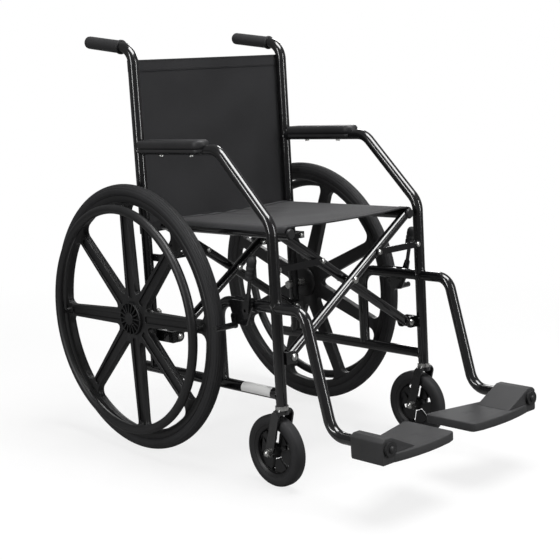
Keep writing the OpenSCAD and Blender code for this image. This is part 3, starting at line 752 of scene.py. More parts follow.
@dataclass
class Bench:
    """Carries the frame, the stance and the paint shop to every sub-assembly."""

    frame: dict
    paint: Paintshop
    stance: Stance

    def box(self, node: str) -> tuple[Vector, Vector]:
        """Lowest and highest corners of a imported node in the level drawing.

        Args:
            node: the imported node's name.

        Returns:
            Two corners in metres, with Y counted from the rear axle.
        """
        level = self.stance.matrix.inverted()
        points = [level @ vert.co for vert in self.frame["nodes"][node].data.vertices]
        low = Vector([min(point[axis] for point in points) for axis in range(3)])
        high = Vector([max(point[axis] for point in points) for axis in range(3)])
        return low, high

    def hand_over(self, piece: bpy.types.Object, slot: str, body: str, *nodes: str) -> None:
        """Finish a piece, attach it to its body and hide what it stands for.

        Args:
            piece: the finished mesh object.
            slot: its material slot.
            body: the body it moves with.
            nodes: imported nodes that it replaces.
        """
        piece.data.transform(self.stance.matrix)
        self.paint.coat(piece, slot)
        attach(piece, body)
        if nodes:
            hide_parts(*nodes)
        LOG.info("%s rides on %s, %d faces", piece.name, body, len(piece.data.polygons))

    def both(self, piece: bpy.types.Object, slot: str, body: str, *nodes: str) -> None:
        """Hand over a left piece and its mirror image.

        Args:
            piece: the left piece; its name ends in "_l".
            slot: its material slot.
            body: the body's name without its side.
            nodes: names of replaced nodes without their side.
        """
        twin = mirrored(piece, piece.name[:-2] + "_r")
        for side, part in ((Side.LEFT, piece), (Side.RIGHT, twin)):
            self.hand_over(part, slot, side.body(body), *[f"{n}_{side.tag}" for n in nodes])

    def middle(self, node: str) -> Vector:
        """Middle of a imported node's box in the level drawing."""
        low, high = self.box(node)
        return (low + high) / 2


# --------------------------------------------------------------------------
# sub-assemblies
# --------------------------------------------------------------------------


@dataclass
class SpokedDisc:
    """A moulded disc with rounded windows between its spokes, in metres."""

    spokes: int
    phase: float
    inner: float
    outer: float
    half_in: float
    half_out: float
    corner: float
    thick: float
    rim: float
    groove: float = 0.0
    groove_half: float = 0.007
    groove_from: float = 0.044
    groove_to: float = 0.226

    def window(self) -> list[Pair]:
        """Outline of the window that follows the spoke at angle zero."""
        step = math.radians(360.0 / self.spokes)
        mouth = math.degrees(math.asin(self.half_out / self.outer))
        near = (math.sqrt(max(self.inner**2 - self.half_in**2, 1e-8)), self.half_in)
        rim = arc(self.outer, mouth, math.degrees(step) - mouth, 6)
        flip = lambda p: (  # mirror image in the window's middle line
            p[0] * math.cos(step) + p[1] * math.sin(step),
            p[0] * math.sin(step) - p[1] * math.cos(step),
        )
        valley_r = self.inner * 0.9
        valley = (valley_r * math.cos(step / 2), valley_r * math.sin(step / 2))
        corners = [near, *rim, flip(near), valley]
        radii = [
            self.corner * 0.35, self.corner, *([0.0] * (len(rim) - 2)), self.corner, self.corner * 0.35,
            self.corner * 0.3
        ]
        return rounded(corners, radii)

    def build(self, name: str, centre: Vector) -> bpy.types.Object:
        """Model the disc with its axis along X.

        Args:
            name: the piece's name.
            centre: the middle of the disc.

        Returns:
            The disc; +X is its outer face.
        """
        step = 360.0 / self.spokes
        circle = arc(self.rim, 0.0, 360.0, 160)[:-1]
        windows = [swung(self.window(), self.phase + i * step) for i in range(self.spokes)]
        place = Matrix.Translation(centre) @ self.turned_to_x()
        back = self.thick - self.groove
        pieces = [plate(name, [circle, *windows], back, 0.0018, place @ Matrix.Translation((0, 0, -self.groove / 2)))]
        if self.groove:
            slot = rounded(
                [
                    (self.groove_from, -self.groove_half), (self.groove_to, -self.groove_half),
                    (self.groove_to, self.groove_half), (self.groove_from, self.groove_half)
                ],
                [0.004] * 4
            )
            slots = [swung(slot, self.phase + i * step) for i in range(self.spokes)]
            face = self.groove + 0.004
            lift = self.thick / 2 - face / 2
            pieces.append(
                plate(name, [circle, *windows, *slots], face, 0.0015, place @ Matrix.Translation((0, 0, lift)))
            )
        return joined(pieces, name)

    @staticmethod
    def turned_to_x() -> Matrix:
        """Turn that lays a flat drawing square to X, its X pointing down."""
        return Matrix.Rotation(math.pi / 2, 4, "Y")


@dataclass
class RearWheel:
    """The moulded rear wheel, its tyre and its hub, in metres."""

    tyre_r: float = 0.284
    tyre_w: float = 0.030
    rim_r: float = 0.260
    rim_in: float = 0.245
    hub_r: float = 0.036
    hub_half: float = 0.015
    ribs: int = 16
    phase_left: float = 20.5
    phase_right: float = -1.3
    disc: SpokedDisc = field(
        default_factory=lambda: SpokedDisc(8, 0.0, 0.060, 0.2435, 0.0165, 0.0125, 0.017, 0.016, 0.250, groove=0.004)
    )

    def tyre(self, centre: Vector) -> bpy.types.Object:
        """Turn the tyre with its tread grooves and bead steps."""
        half = self.tyre_w / 2
        mid = self.tyre_r - half
        points: list[Pair] = []
        for k in range(61):
            angle = -108.0 + 216.0 * k / 60
            radius = half
            if abs(angle) < 52 and abs(abs(angle) % 17.0 - 8.5) < 1.9:
                radius -= 0.0007
            if 62 < abs(angle) < 70:
                radius -= 0.0006
            a = math.radians(angle)
            points.append((mid + radius * math.cos(a), radius * math.sin(a)))
        seat = self.rim_r - 0.0045
        points += [(seat, half * 0.36), (seat, -half * 0.36)]
        piece = spun("tyre_l", points, centre, X_AXIS, 144)
        smooth(piece, 40)
        return piece

    def moulding(self, centre: Vector, phase: float) -> bpy.types.Object:
        """Model the rim, spokes and hub as one moulding.

        Args:
            centre: the middle of the wheel.
            phase: how far the first spoke stands from straight down, in degrees.

        Returns:
            The moulding of a left wheel.
        """
        self.disc.phase = phase
        disc = self.disc.build("wheel_moulding_l", centre)
        w = 0.012
        rim = spun("rim", [
            (self.rim_in - 0.001, -w + 0.005), (self.rim_in + 0.002, -w + 0.001), (self.rim_in + 0.005, -w),
            (self.rim_r - 0.002, -w), (self.rim_r, -w + 0.001), (self.rim_r, -w + 0.003),
            (self.rim_r - 0.005, -w + 0.006), (self.rim_r - 0.005, w - 0.006),
            (self.rim_r, w - 0.003), (self.rim_r, w - 0.001), (self.rim_r - 0.002, w),
            (self.rim_in + 0.005, w), (self.rim_in + 0.002, w - 0.001), (self.rim_in - 0.001, w - 0.005),
        ], centre, X_AXIS, 144)
        h, r = self.hub_half, self.hub_r
        hub = spun("hub", [
            (0.0063, -h), (r - 0.006, -h), (r - 0.002, -h + 0.002), (r, -h + 0.005),
            (r, h - 0.004), (r - 0.001, h - 0.001), (r - 0.0025, h), (r - 0.0035, h), (r - 0.0045, h - 0.006),
            (0.0145, h - 0.006), (0.0135, h + 0.002), (0.0125, h + 0.003), (0.0, h + 0.003), (0.0, h + 0.0022),
            (0.011, h + 0.0022), (0.011, h - 0.004), (0.0063, h - 0.004),
        ], centre, X_AXIS, 72, ring=True)
        fins = []
        for i in range(self.ribs):
            turn = Matrix.Rotation(2 * math.pi * i / self.ribs, 4, "X")
            fins.append(
                block("fin", (0.0085, 0.0026, 0.021), centre + turn @ Vector((h - 0.0027, 0.0, 0.0233)), 0.0006, turn)
            )
        posts = []
        for i in range(0, self.disc.spokes, 2):
            u, v = swung([(HAND_RIM_R, 0.0)], self.disc.phase + i * 360.0 / self.disc.spokes)[0]
            foot = centre + Vector((0.004, v, -u))
            posts.append(
                spun(
                    "post",
                    [(0.0095, 0.0), (0.0095, 0.005), (0.0075, 0.007), (0.0062, 0.010), (0.006, 0.0285), (0.0, 0.0285)],
                    foot, X_AXIS, 24, ring=False
                )
            )
        whole = joined([disc, rim, hub, *fins, *posts], "wheel_moulding_l")
        smooth(whole, 32)
        return whole

    def build(self, bench: Bench) -> None:
        """Model both rear wheels and hand them over."""
        centre = bench.middle("wheel_tyre_l")
        bench.both(self.tyre(centre), "tyre_rubber", "wheel", "wheel_tyre")
        right = mirrored(self.moulding(centre, self.phase_right), "wheel_moulding_r")
        bpy.data.objects.remove(bpy.data.objects["wheel_moulding_l"])
        bench.hand_over(right, "wheel_plastic", "wheel_R", "wheel_rim_r")
        bench.hand_over(self.moulding(centre, self.phase_left), "wheel_plastic", "wheel_L", "wheel_rim_l")


@dataclass
class CasterWheel:
    """The caster's solid tyre and spoked rim, in metres."""

    radius: float = 0.072
    width: float = 0.028
    rim_r: float = 0.052
    disc: SpokedDisc = field(
        default_factory=lambda: SpokedDisc(6, 12.0, 0.019, 0.0445, 0.0055, 0.0055, 0.006, 0.008, 0.048)
    )

    def tyre(self, centre: Vector) -> bpy.types.Object:
        """Turn the tyre with a flattened tread and a step at the rim."""
        half = self.width / 2
        outline = rounded([
            (self.rim_r, -half + 0.0022), (self.rim_r + 0.006, -half), (self.radius - 0.002, -half),
            (self.radius, -half * 0.35), (self.radius, half * 0.35),
            (self.radius - 0.002, half), (self.rim_r + 0.006, half), (self.rim_r, half - 0.0022),
        ], [0.0015, 0.003, 0.009, 0.004, 0.004, 0.009, 0.003, 0.0015], 5)
        piece = spun("caster_tread_l", outline, centre, X_AXIS, 96)
        smooth(piece, 40)
        return piece

    def rim(self, centre: Vector) -> bpy.types.Object:
        """Model the dished rim with its spokes and hub."""
        disc = self.disc.build("caster_moulding_l", centre)
        w = 0.011
        r = self.rim_r
        ring = spun(
            "ring",
            [
                (r - 0.0075, -0.004), (r - 0.006, -w + 0.003), (r - 0.003, -w + 0.001), (r, -w), (r, w),
                (r - 0.003, w - 0.001), (r - 0.006, w - 0.003), (r - 0.0075, 0.004)
            ],
            centre, X_AXIS, 96
        )
        hub = spun(
            "hub",
            [
                (0.0042, -0.016), (0.0095, -0.016), (0.0105, -0.015), (0.012, -0.008), (0.015, -0.003),
                (0.015, 0.003), (0.012, 0.008), (0.0105, 0.015), (0.0095, 0.016), (0.0042, 0.016)
            ],
            centre, X_AXIS, 48
        )
        whole = joined([disc, ring, hub], "caster_moulding_l")
        smooth(whole, 35)
        return whole

    def build(self, bench: Bench) -> None:
        """Model both casters and hand them over."""
        centre = bench.middle("caster_tyre_l")
        bench.both(self.tyre(centre), "tyre_rubber", "caster", "caster_tyre")
        bench.both(self.rim(centre), "wheel_plastic", "caster", "caster_rim")


@dataclass
class Grips:
    """Push grips on the handles and grips on the brake levers, in metres."""

    push_r: float = 0.0134
    push_flange: float = 0.0152
    push_ribs: int = 17
    brake_r: float = 0.0095

    def push(self, bench: Bench) -> bpy.types.Object:
        """Turn a push grip with its flange, fine ribs and domed end."""
        low, high = bench.box("push_grip_l")
        x = (low.x + high.x) / 2
        tilt = math.radians(8.0)
        axis = Vector((0.0, math.cos(tilt), math.sin(tilt)))
        length = 0.1215
        start = Vector((x, low.y, low.z)) + Vector((0.0, -math.sin(tilt), math.cos(tilt))) * self.push_flange
        start.y = low.y + self.push_flange * math.sin(tilt)
        profile: list[Pair] = [
            (0.0111, 0.0), (self.push_flange - 0.001, 0.0), (self.push_flange, 0.001),
            (self.push_flange, 0.0042), (self.push_flange - 0.0012, 0.0055), (self.push_r, 0.0065)
        ]
        pitch = (length - 0.022) / self.push_ribs
        for i in range(self.push_ribs):
            at = 0.010 + i * pitch
            profile += [
                (self.push_r - 0.0006, at), (self.push_r, at + pitch * 0.25),
                (self.push_r, at + pitch * 0.75), (self.push_r - 0.0006, at + pitch * 0.98)
            ]
        profile += [
            (self.push_r, length - 0.008), (self.push_r - 0.0006, length - 0.004),
            (self.push_r - 0.0025, length - 0.0012), (self.push_r - 0.006, length), (0.0, length)
        ]
        piece = spun("grip_sleeve_l", profile, start, axis, 48, ring=False)
        smooth(piece, 50)
        return piece

    def brake(self, bench: Bench) -> bpy.types.Object:
        """Turn a brake grip with a domed top and three finger rings."""
        low, high = bench.box("brake_grip_l")
        r = self.brake_r
        lean = math.atan2(high.y - low.y - 2 * r, high.z - low.z - 2 * r)
        axis = Vector((0.0, -math.sin(lean), math.cos(lean)))
        top = Vector(((low.x + high.x) / 2, low.y + r, high.z - r))
        length = 0.0368
        foot = top - axis * length
        profile: list[Pair] = [(0.0041, 0.0), (r - 0.0012, 0.0), (r - 0.0002, 0.0012), (r, 0.003)]
        for i in range(3):
            at = 0.007 + i * 0.009
            profile += [(r, at), (r - 0.0009, at + 0.001), (r - 0.0009, at + 0.0028), (r, at + 0.0038)]
        profile += [(r * math.cos(math.radians(a)), length + r * math.sin(math.radians(a))) for a in range(0, 90, 12)]
        profile.append((0.0, length + r))
        piece = spun("brake_knob_l", profile, foot, axis, 36, ring=False)
        smooth(piece, 50)
        return piece

    def build(self, bench: Bench) -> None:
        """Model all four grips and hand them over."""
        bench.both(self.push(bench), "grip_rubber", "frame", "push_grip")
        bench.both(self.brake(bench), "grip_rubber", "brake", "brake_grip")


@dataclass
class ArmPad:
    """A moulded arm pad on a stiff base, in metres."""

    base: float = 0.005
    bevel: float = 0.0075

    def outline(self, low: Vector, high: Vector, inset: float) -> list[Pair]:
        """Plan of the pad: square behind and round in front.

        Args:
            low: lowest corner of the pad's box.
            high: highest corner of the pad's box.
            inset: how far the outline stands in from the box.

        Returns:
            The outline in X and Y.
        """
        x0, x1 = low.x + inset, high.x - inset
        y0, y1 = low.y + inset, high.y - inset
        half = (x1 - x0) / 2
        return rounded([(x0, y1), (x0, y0), (x1, y0), (x1, y1)], [0.004, half * 0.97, half * 0.97, 0.004], 14)

    def build(self, bench: Bench) -> None:
        """Model both arm pads and hand them over."""
        low, high = bench.box("arm_pad_l")
        middle = (low.z + self.base + high.z) / 2
        cushion = plate(
            "pad", [self.outline(low, high, 0.0)], high.z - low.z - self.base, self.bevel,
            Matrix.Translation((0, 0, middle)), rounds=5
        )
        base = plate(
            "base", [self.outline(low, high, 0.0014)], self.base + 0.001, 0.0008,
            Matrix.Translation((0, 0, low.z + self.base / 2))
        )
        piece = joined([cushion, base], "arm_cushion_l")
        smooth(piece, 50)
        for part in (piece,):
            bench.both(part, "pad_foam", "frame", "arm_pad")


@dataclass
class Footplate:
    """A moulded footplate with the cover over its hinge, in metres."""

    thick: float = 0.017
    bevel: float = 0.0022

    def plan(self, low: Vector, high: Vector) -> list[Pair]:
        """Plan of the plate: bowed front edge, slanted rear edge."""
        x0, x1 = low.x, high.x - 0.014
        y0, y1 = low.y, high.y
        bow = [(x0 + (x1 - x0) * t, y0 + 0.010 * (2 * t - 0.9) ** 2) for t in (0.12, 0.3, 0.45, 0.6, 0.75, 0.9)]
        corners = [(x0, y1), (x0, y0 + 0.011), *bow, (x1, y0 + 0.020), (x1, y1 - 0.044), (x1 - 0.025, y1 - 0.040)]
        return rounded(corners, [0.009, 0.010, *([0.0] * len(bow)), 0.012, 0.004, 0.03], 6)

    def cover(self, low: Vector, high: Vector) -> bpy.types.Object:
        """Model the wedge over the hinge, hollow at its front end."""
        x = high.x
        bottom = low.z
        top = high.z
        side = rounded([
            (x - 0.002, bottom), (x, bottom + 0.004), (x, top - 0.006),
            (x - 0.008, top), (x - 0.024, top), (x - 0.033, top - 0.004),
            (x - 0.088, bottom + self.thick + 0.0004), (x - 0.088, bottom + self.thick - 0.004), (x - 0.03, bottom),
        ], [0.001, 0.003, 0.005, 0.006, 0.004, 0.008, 0.0, 0.0, 0.0], 4)
        front, rear = low.y + 0.010, low.y + 0.088
        turn = Matrix.Rotation(math.pi / 2, 4, "X")
        bore = arc(0.0114, 0.0, 360.0, 32, (x - 0.018, 0.13))[:-1]
        body = plate("cover", [side, bore], rear - front, 0.0016, Matrix.Translation((0, (front + rear) / 2, 0)) @ turn)
        return body

    def build(self, bench: Bench) -> None:
        """Model both footplates and hand them over."""
        low, high = bench.box("footplate_l")
        tread = plate(
            "tread", [self.plan(low, high)], self.thick, self.bevel,
            Matrix.Translation((0, 0, low.z + self.thick / 2)), rounds=3
        )
        piece = joined([tread, self.cover(low, high)], "foot_tread_l")
        smooth(piece, 32)
        bench.both(piece, "footplate_grey", "footrest", "footplate")


@dataclass
class Sling:
    """A sheet of nylon laid over a path, with hems and stitches, in metres."""

    name: str
    path: Sequence[Pair]
    start: float
    end: float
    thick: float
    put: Callable[[float, float, float], Vector]
    sag: Callable[[float, float], float]
    rows: int = 60
    cols: int = 72

    def lengths(self) -> list[float]:
        """Running length of the path at each of its points."""
        total = [0.0]
        for a, b in zip(self.path, self.path[1:]):
            total.append(total[-1] + math.dist(a, b))
        return total

    def at(self, u: float) -> tuple[Pair, Pair]:
        """Place and normal on the path.

        Args:
            u: share of the path's length, 0 to 1.

        Returns:
            The point and the unit normal to its left.
        """
        total = self.lengths()
        want = min(max(u, 0.0), 1.0) * total[-1]
        i = next((k for k in range(1, len(total)) if total[k] >= want), len(total) - 1)
        a, b = Vector(self.path[i - 1]), Vector(self.path[i])
        t = (want - total[i - 1]) / max(total[i] - total[i - 1], 1e-9)
        along = (b - a).normalized()
        point = a.lerp(b, t)
        return (point.x, point.y), (-along.y, along.x)

    def sheet(self) -> bpy.types.Object:
        """Model the cloth itself as a grid with a UV map in metres."""
        deselect_all()
        bpy.ops.mesh.primitive_grid_add(x_subdivisions=self.cols, y_subdivisions=self.rows, size=1.0)
        piece = bpy.context.active_object
        total = self.lengths()[-1]
        flat = {v.index: (v.co.x + 0.5, v.co.y + 0.5) for v in piece.data.vertices}
        uv = piece.data.uv_layers[0] if piece.data.uv_layers else piece.data.uv_layers.new(name="UVMap")
        for loop in piece.data.loops:
            u, v = flat[loop.vertex_index]
            uv.data[loop.index].uv = (u * total, v * (self.end - self.start))
        for vert in piece.data.vertices:
            u, v = flat[vert.index]
            (a, b), (na, nb) = self.at(u)
            lift = self.sag(u, v)
            vert.co = self.put(a + na * lift, b + nb * lift, self.start + v * (self.end - self.start))
        modify(piece, "SOLIDIFY", thickness=self.thick, offset=0.0, use_even_offset=True)
        return piece

    def stitches(self, v: float, u0: float, u1: float, above: float, pitch: float = 0.0042) -> bpy.types.Object:
        """Model one row of stitches across the cloth.

        Args:
            v: where the row lies along the sling, 0 to 1.
            u0: where it starts along the path.
            u1: where it ends along the path.
            above: height of the thread over the cloth's middle surface.
            pitch: length of one stitch and its gap.

        Returns:
            All the row's stitches as one piece.
        """
        total = self.lengths()[-1]
        count = int((u1 - u0) * total / pitch)
        verts: list[Vector] = []
        faces: list[tuple[int, ...]] = []
        for k in range(count):
            ends = []
            for part in (0.12, 0.80):
                u = u0 + (u1 - u0) * (k + part) / count
                (a, b), (na, nb) = self.at(u)
                lift = self.sag(u, v) + above
                ends.append(self.put(a + na * lift, b + nb * lift, self.start + v * (self.end - self.start)))
            run = (ends[1] - ends[0]).normalized()
            span = (self.put(0, 0, 1.0) - self.put(0, 0, 0.0)).normalized()
            up = run.cross(span).normalized()
            base = len(verts)
            for end, reach in ((ends[0], 0.7), (ends[0].lerp(ends[1], 0.5), 1.0), (ends[1], 0.7)):
                for s, t in ((0.00035, 0.0), (0.0, 0.0003), (-0.00035, 0.0), (0.0, -0.0003)):
                    verts.append(end + span * s * reach + up * t * reach)
            for ring in (0, 4):
                for i in range(4):
                    j = (i + 1) % 4
                    faces.append((base + ring + i, base + ring + j, base + ring + 4 + j, base + ring + 4 + i))
            faces.append((base + 3, base + 2, base + 1, base))
            faces.append((base + 8, base + 9, base + 10, base + 11))
        mesh = bpy.data.meshes.new("thread")
        mesh.from_pydata([tuple(v) for v in verts], [], faces)
        piece = bpy.data.objects.new("thread", mesh)
        bpy.context.scene.collection.objects.link(piece)
        tidy_normals(piece, 1e-6)
        return piece

    def hem(self, v: float, width: float, side: float) -> bpy.types.Object:
        """Model a folded hem as a second layer on the cloth.

        Args:
            v: where the hem's outer edge lies along the sling, 0 or 1.
            width: the hem's width in metres.
            side: height of the layer over the cloth's middle surface.

        Returns:
            The hem's layer.
        """
        deselect_all()
        bpy.ops.mesh.primitive_grid_add(x_subdivisions=self.cols, y_subdivisions=4, size=1.0)
        piece = bpy.context.active_object
        total = self.lengths()[-1]
        share = width / (self.end - self.start)
        inner = v + share if v < 0.5 else v - share
        flat = {w.index: (w.co.x + 0.5, w.co.y + 0.5) for w in piece.data.vertices}
        uv = piece.data.uv_layers[0] if piece.data.uv_layers else piece.data.uv_layers.new(name="UVMap")
        for loop in piece.data.loops:
            a, b = flat[loop.vertex_index]
            uv.data[loop.index].uv = (a * total, b * width)
        for vert in piece.data.vertices:
            u, t = flat[vert.index]
            w = v + (inner - v) * t
            (a, b), (na, nb) = self.at(u)
            lift = self.sag(u, w) + side
            vert.co = self.put(a + na * lift, b + nb * lift, self.start + w * (self.end - self.start))
        modify(piece, "SOLIDIFY", thickness=0.0007, offset=0.0)
        return piece


@dataclass
class Upholstery:
    """The seat and back slings."""

    thick: float = 0.0016

    def seat(self, bench: Bench) -> None:
        """Model the seat sling over both rails, place and finish it and hide the imported sling, without attaching it
        to a body.
        """
        right, left = bench.middle("seat_rail_b"), bench.middle("seat_rail_a")
        low, high = bench.box("seat_sling")
        r = 0.0125
        z = right.z
        under = -16.0
        path = [(right.x + px, z + pz) for px, pz in arc(r, 180.0 + under, 90.0, 14)]
        path += [(right.x + (left.x - right.x) * k / 20, z + r) for k in range(1, 20)]
        path += [(left.x + px, z + pz) for px, pz in arc(r, 90.0, -under, 14)]

        def sag(u: float, v: float) -> float:
            """Dip of the seat between its rails, deeper where a sitter sits, with faint creases behind."""
            across = max(0.0, 1.0 - ((u - 0.5) / 0.40) ** 2)
            dip = -0.0055 * across * (0.75 + 0.25 * math.sin(math.pi * v))
            crease = 0.0009 * across * math.sin(u * 46.0 + 3.0 * math.sin(v * 7.0)) * max(0.0, v - 0.62) / 0.38
            ripple = 0.0007 * across * math.sin(v * 21.0 + 4.0 * u) * (0.5 + 0.5 * math.cos(u * 11.0))
            return dip + crease + ripple

        sling = Sling("seat_cloth", path, low.y, high.y, self.thick, lambda a, b, y: Vector((a, y, b)), sag)
        cloth = sling.sheet()
        extras = [sling.hem(0.0, 0.022, 0.0013), sling.hem(1.0, 0.022, 0.0013)]
        for v in (0.008, 0.052, 0.948, 0.992):
            extras.append(sling.stitches(v, 0.04, 0.96, 0.0019))
        piece = joined([cloth, *extras], "seat_cloth")
        smooth(piece, 60)
        piece.data.transform(bench.stance.matrix)
        bench.paint.coat(piece, "nylon")
        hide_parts("seat_sling")
        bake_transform(piece)

    def back(self, bench: Bench) -> None:
        """Model the back sling behind both canes and hand it over."""
        low, high = bench.box("back_sling")
        y = (low.y + high.y) / 2
        path = [(low.x + (high.x - low.x) * k / 40, y) for k in range(41)]

        def sag(u: float, v: float) -> float:
            """Belly of the back between the canes, slack at the foot and tight at the hem."""
            across = max(0.0, 1.0 - ((u - 0.5) / 0.46) ** 2)
            belly = 0.007 * across * (0.55 + 0.45 * math.sin(math.pi * (v * 0.8 + 0.1)))
            slack = 0.0026 * across * math.exp(-((v / 0.16) ** 2)) * math.sin(u * 15.0 + 1.2)
            drape = 0.0010 * across * math.sin(v * 17.0 + 2.0 * math.sin(u * 5.0))
            top = 0.0012 * across * math.sin(u * 19.0) * max(0.0, v - 0.8) / 0.2
            return belly + slack + drape + top

        sling = Sling("back_cloth", path, low.z, high.z, self.thick, lambda a, b, z: Vector((a, b, z)), sag)
        cloth = sling.sheet()
        extras = []
        for v in (0.0, 1.0):
            for face in (0.0012, -0.0012):
                extras.append(sling.hem(v, 0.024, face))
        for v in (0.008, 0.058, 0.942, 0.992):
            for face in (0.0018, -0.0018):
                extras.append(sling.stitches(v, 0.03, 0.97, face))
        piece = joined([cloth, *extras], "back_cloth")
        smooth(piece, 60)
        bench.hand_over(piece, "nylon", "frame_R", "back_sling")
        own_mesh(piece)

    def build(self, bench: Bench) -> None:
        """Model both slings."""
        self.seat(bench)
        self.back(bench)


@dataclass
class Welds:
    """Weld beads where one frame tube is coped over another, in metres."""

    tube: float = 0.011
    bead: float = 0.0013

    def bead_round(self, at: Vector, branch: Vector, main: Vector) -> bpy.types.Object:
        """One bead that follows the saddle between two tubes.

        Args:
            at: where the centre lines cross.
            branch: direction of the branch tube, away from the main one.
            main: direction of the main tube.

        Returns:
            The bead.
        """
        deselect_all()
        bpy.ops.mesh.primitive_torus_add(
            major_radius=self.tube + 0.0003, minor_radius=self.bead, major_segments=48, minor_segments=8
        )
        piece = bpy.context.active_object
        z = branch.normalized()
        x = main.normalized()
        y = z.cross(x)
        for vert in piece.data.vertices:
            angle = math.atan2(vert.co.y, vert.co.x)
            over = self.tube * math.sin(angle)
            saddle = math.sqrt(max(self.tube**2 - over**2, 0.0)) * 0.94 + 0.0005
            swell = 1.0 + 0.10 * math.sin(angle * 26.0)
            vert.co.z = vert.co.z * swell + saddle
        piece.matrix_world = Matrix.Translation(at) @ Matrix((x, y, z)).transposed().to_4x4()
        return settle(piece, "bead")

    def build(self, bench: Bench) -> None:
        """Model the beads of both side frames and hand them over."""
        cane = bench.box("back_cane_l")
        x = cane[1].x - TUBE_MIDDLE
        axle = bench.middle("wheel_axle_l").y
        arm = bench.box("arm_tube_l")
        front = axle - UPRIGHT_AHEAD
        lower = bench.middle("lower_rail_l").z
        top = arm[1].z - TUBE_MIDDLE
        mid = bench.box("footrest_tube_l")[1].z - TUBE_MIDDLE
        leg = axle - LEG_AHEAD
        spots = [
            (Vector((x, axle, lower)), Z_AXIS, Y_AXIS),
            (Vector((x, axle, top)), -Y_AXIS, Z_AXIS),
            (Vector((x, front, lower)), Y_AXIS, Z_AXIS),
            (Vector((x, leg, lower)), Z_AXIS, Y_AXIS),
            (Vector((x, front, mid)), Y_AXIS, Z_AXIS),
            (Vector((x, front, mid)), -Y_AXIS, Z_AXIS),
        ]
        piece = joined([self.bead_round(*spot) for spot in spots], "weld_beads_l")
        smooth(piece, 60)
        bench.both(piece, "frame_black", "frame")


# --------------------------------------------------------------------------
# studio
# --------------------------------------------------------------------------


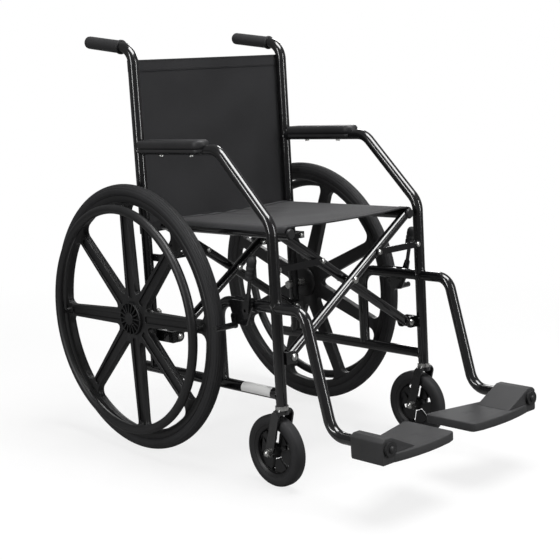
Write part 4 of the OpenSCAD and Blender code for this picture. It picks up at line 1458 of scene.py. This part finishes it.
@dataclass
class Studio:
    """Plain pale floor, soft lights and the camera."""

    lens: float = 78.42
    eye: Triple = (-1.7463, -2.0820, 0.7884)
    right: Triple = (0.72876, -0.68242, -0.05671)
    up: Triple = (0.15262, 0.08113, 0.98495)
    back: Triple = (-0.66755, -0.72644, 0.16328)

    def camera(self, stance: Stance) -> None:
        """Place the camera, which is given from the level drawing."""
        data = bpy.data.cameras.new("camera")
        data.sensor_width = 36.0
        data.lens = self.lens
        data.clip_end = 60.0
        piece = bpy.data.objects.new("camera", data)
        turn = Matrix((self.right, self.up, self.back)).transposed().to_4x4()
        piece.matrix_world = stance.matrix @ Matrix.Translation(self.eye) @ turn
        bpy.context.scene.collection.objects.link(piece)
        bpy.context.scene.camera = piece

    @staticmethod
    def softbox(name: str, place: Triple, aim: Triple, size: Pair, power: float) -> None:
        """Hang one rectangular softbox.

        Args:
            name: the light's name.
            place: where it hangs.
            aim: the point it faces.
            size: its width and height.
            power: its power in watts.
        """
        data = bpy.data.lights.new(name, "AREA")
        data.shape = "RECTANGLE"
        data.size, data.size_y = size
        data.energy = power
        piece = bpy.data.objects.new(name, data)
        piece.location = place
        piece.rotation_euler = (Vector(aim) - Vector(place)).to_track_quat("-Z", "Y").to_euler()
        bpy.context.scene.collection.objects.link(piece)

    def floor(self) -> None:
        """Lay a pale floor that melts into the backdrop."""
        deselect_all()
        bpy.ops.mesh.primitive_plane_add(size=60.0)
        floor = bpy.context.active_object
        floor.name = "studio_floor"
        floor.location.z = -0.0003
        material = bpy.data.materials.new("studio_white")
        material.use_nodes = True
        tree = material.node_tree
        tree.nodes.clear()
        out = tree.nodes.new("ShaderNodeOutputMaterial")
        cloth = tree.nodes.new("ShaderNodeBsdfDiffuse")
        cloth.inputs["Color"].default_value = (0.93, 0.93, 0.93, 1.0)
        glow = tree.nodes.new("ShaderNodeEmission")
        path = tree.nodes.new("ShaderNodeLightPath")
        bounce = tree.nodes.new("ShaderNodeMapRange")
        bounce.inputs["To Min"].default_value = 0.10
        bounce.inputs["To Max"].default_value = 1.0
        tree.links.new(path.outputs["Is Camera Ray"], bounce.inputs["Value"])
        tree.links.new(bounce.outputs["Result"], glow.inputs["Strength"])
        mix = tree.nodes.new("ShaderNodeMixShader")
        coords = tree.nodes.new("ShaderNodeTexCoord")
        length = tree.nodes.new("ShaderNodeVectorMath")
        length.operation = "LENGTH"
        fade = tree.nodes.new("ShaderNodeMapRange")
        fade.inputs["From Min"].default_value = 1.0
        fade.inputs["From Max"].default_value = 1.9
        fade.inputs["To Min"].default_value = 0.80
        tree.links.new(coords.outputs["Object"], length.inputs[0])
        tree.links.new(length.outputs["Value"], fade.inputs["Value"])
        tree.links.new(fade.outputs["Result"], mix.inputs["Fac"])
        tree.links.new(cloth.outputs[0], mix.inputs[1])
        tree.links.new(glow.outputs[0], mix.inputs[2])
        tree.links.new(mix.outputs[0], out.inputs["Surface"])
        floor.data.materials.append(material)

    def backdrop(self) -> None:
        """Light the world: white to the eye, greyer to the paint."""
        world = bpy.data.worlds.new("studio")
        bpy.context.scene.world = world
        world.use_nodes = True
        tree = world.node_tree
        shade = tree.nodes["Background"]
        shade.inputs["Color"].default_value = (1.0, 1.0, 1.0, 1.0)
        path = tree.nodes.new("ShaderNodeLightPath")
        mix = tree.nodes.new("ShaderNodeMapRange")
        mix.inputs["To Min"].default_value = 0.16
        mix.inputs["To Max"].default_value = 1.0
        tree.links.new(path.outputs["Is Camera Ray"], mix.inputs["Value"])
        tree.links.new(mix.outputs["Result"], shade.inputs["Strength"])

    def build(self, stance: Stance) -> None:
        """Set up the whole studio."""
        self.camera(stance)
        self.floor()
        self.backdrop()
        self.softbox("overhead", (0.2, -0.6, 3.4), (0.0, 0.0, 0.3), (1.8, 1.8), 105.0)
        self.softbox("left strip", (-3.0, 0.2, 1.5), (0.0, 0.0, 0.5), (0.28, 2.4), 34.0)
        self.softbox("right strip", (0.9, -3.2, 1.5), (0.0, 0.0, 0.5), (0.25, 2.4), 34.0)
        self.softbox("rear strip", (2.6, 2.2, 2.0), (0.0, 0.0, 0.5), (0.5, 2.0), 22.0)
        bpy.context.scene.view_settings.view_transform = "Standard"


def main() -> None:
    """Build the chair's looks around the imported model."""
    logging.basicConfig(level=logging.INFO, format="%(message)s")
    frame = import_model()
    stance = Stance()
    stance.settle_on_floor()
    LOG.info("tipped back by %.2f degrees", math.degrees(stance.tip))
    Studio().build(stance)
    paint = Paintshop()
    paint.dress_nodes(frame)
    bench = Bench(frame, paint, stance)
    for assembly in (RearWheel(), CasterWheel(), Grips(), ArmPad(), Footplate(), Upholstery(), Welds()):
        LOG.info("building %s", type(assembly).__name__)
        assembly.build(bench)
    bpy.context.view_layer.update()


if __name__ == "__main__":
    main()
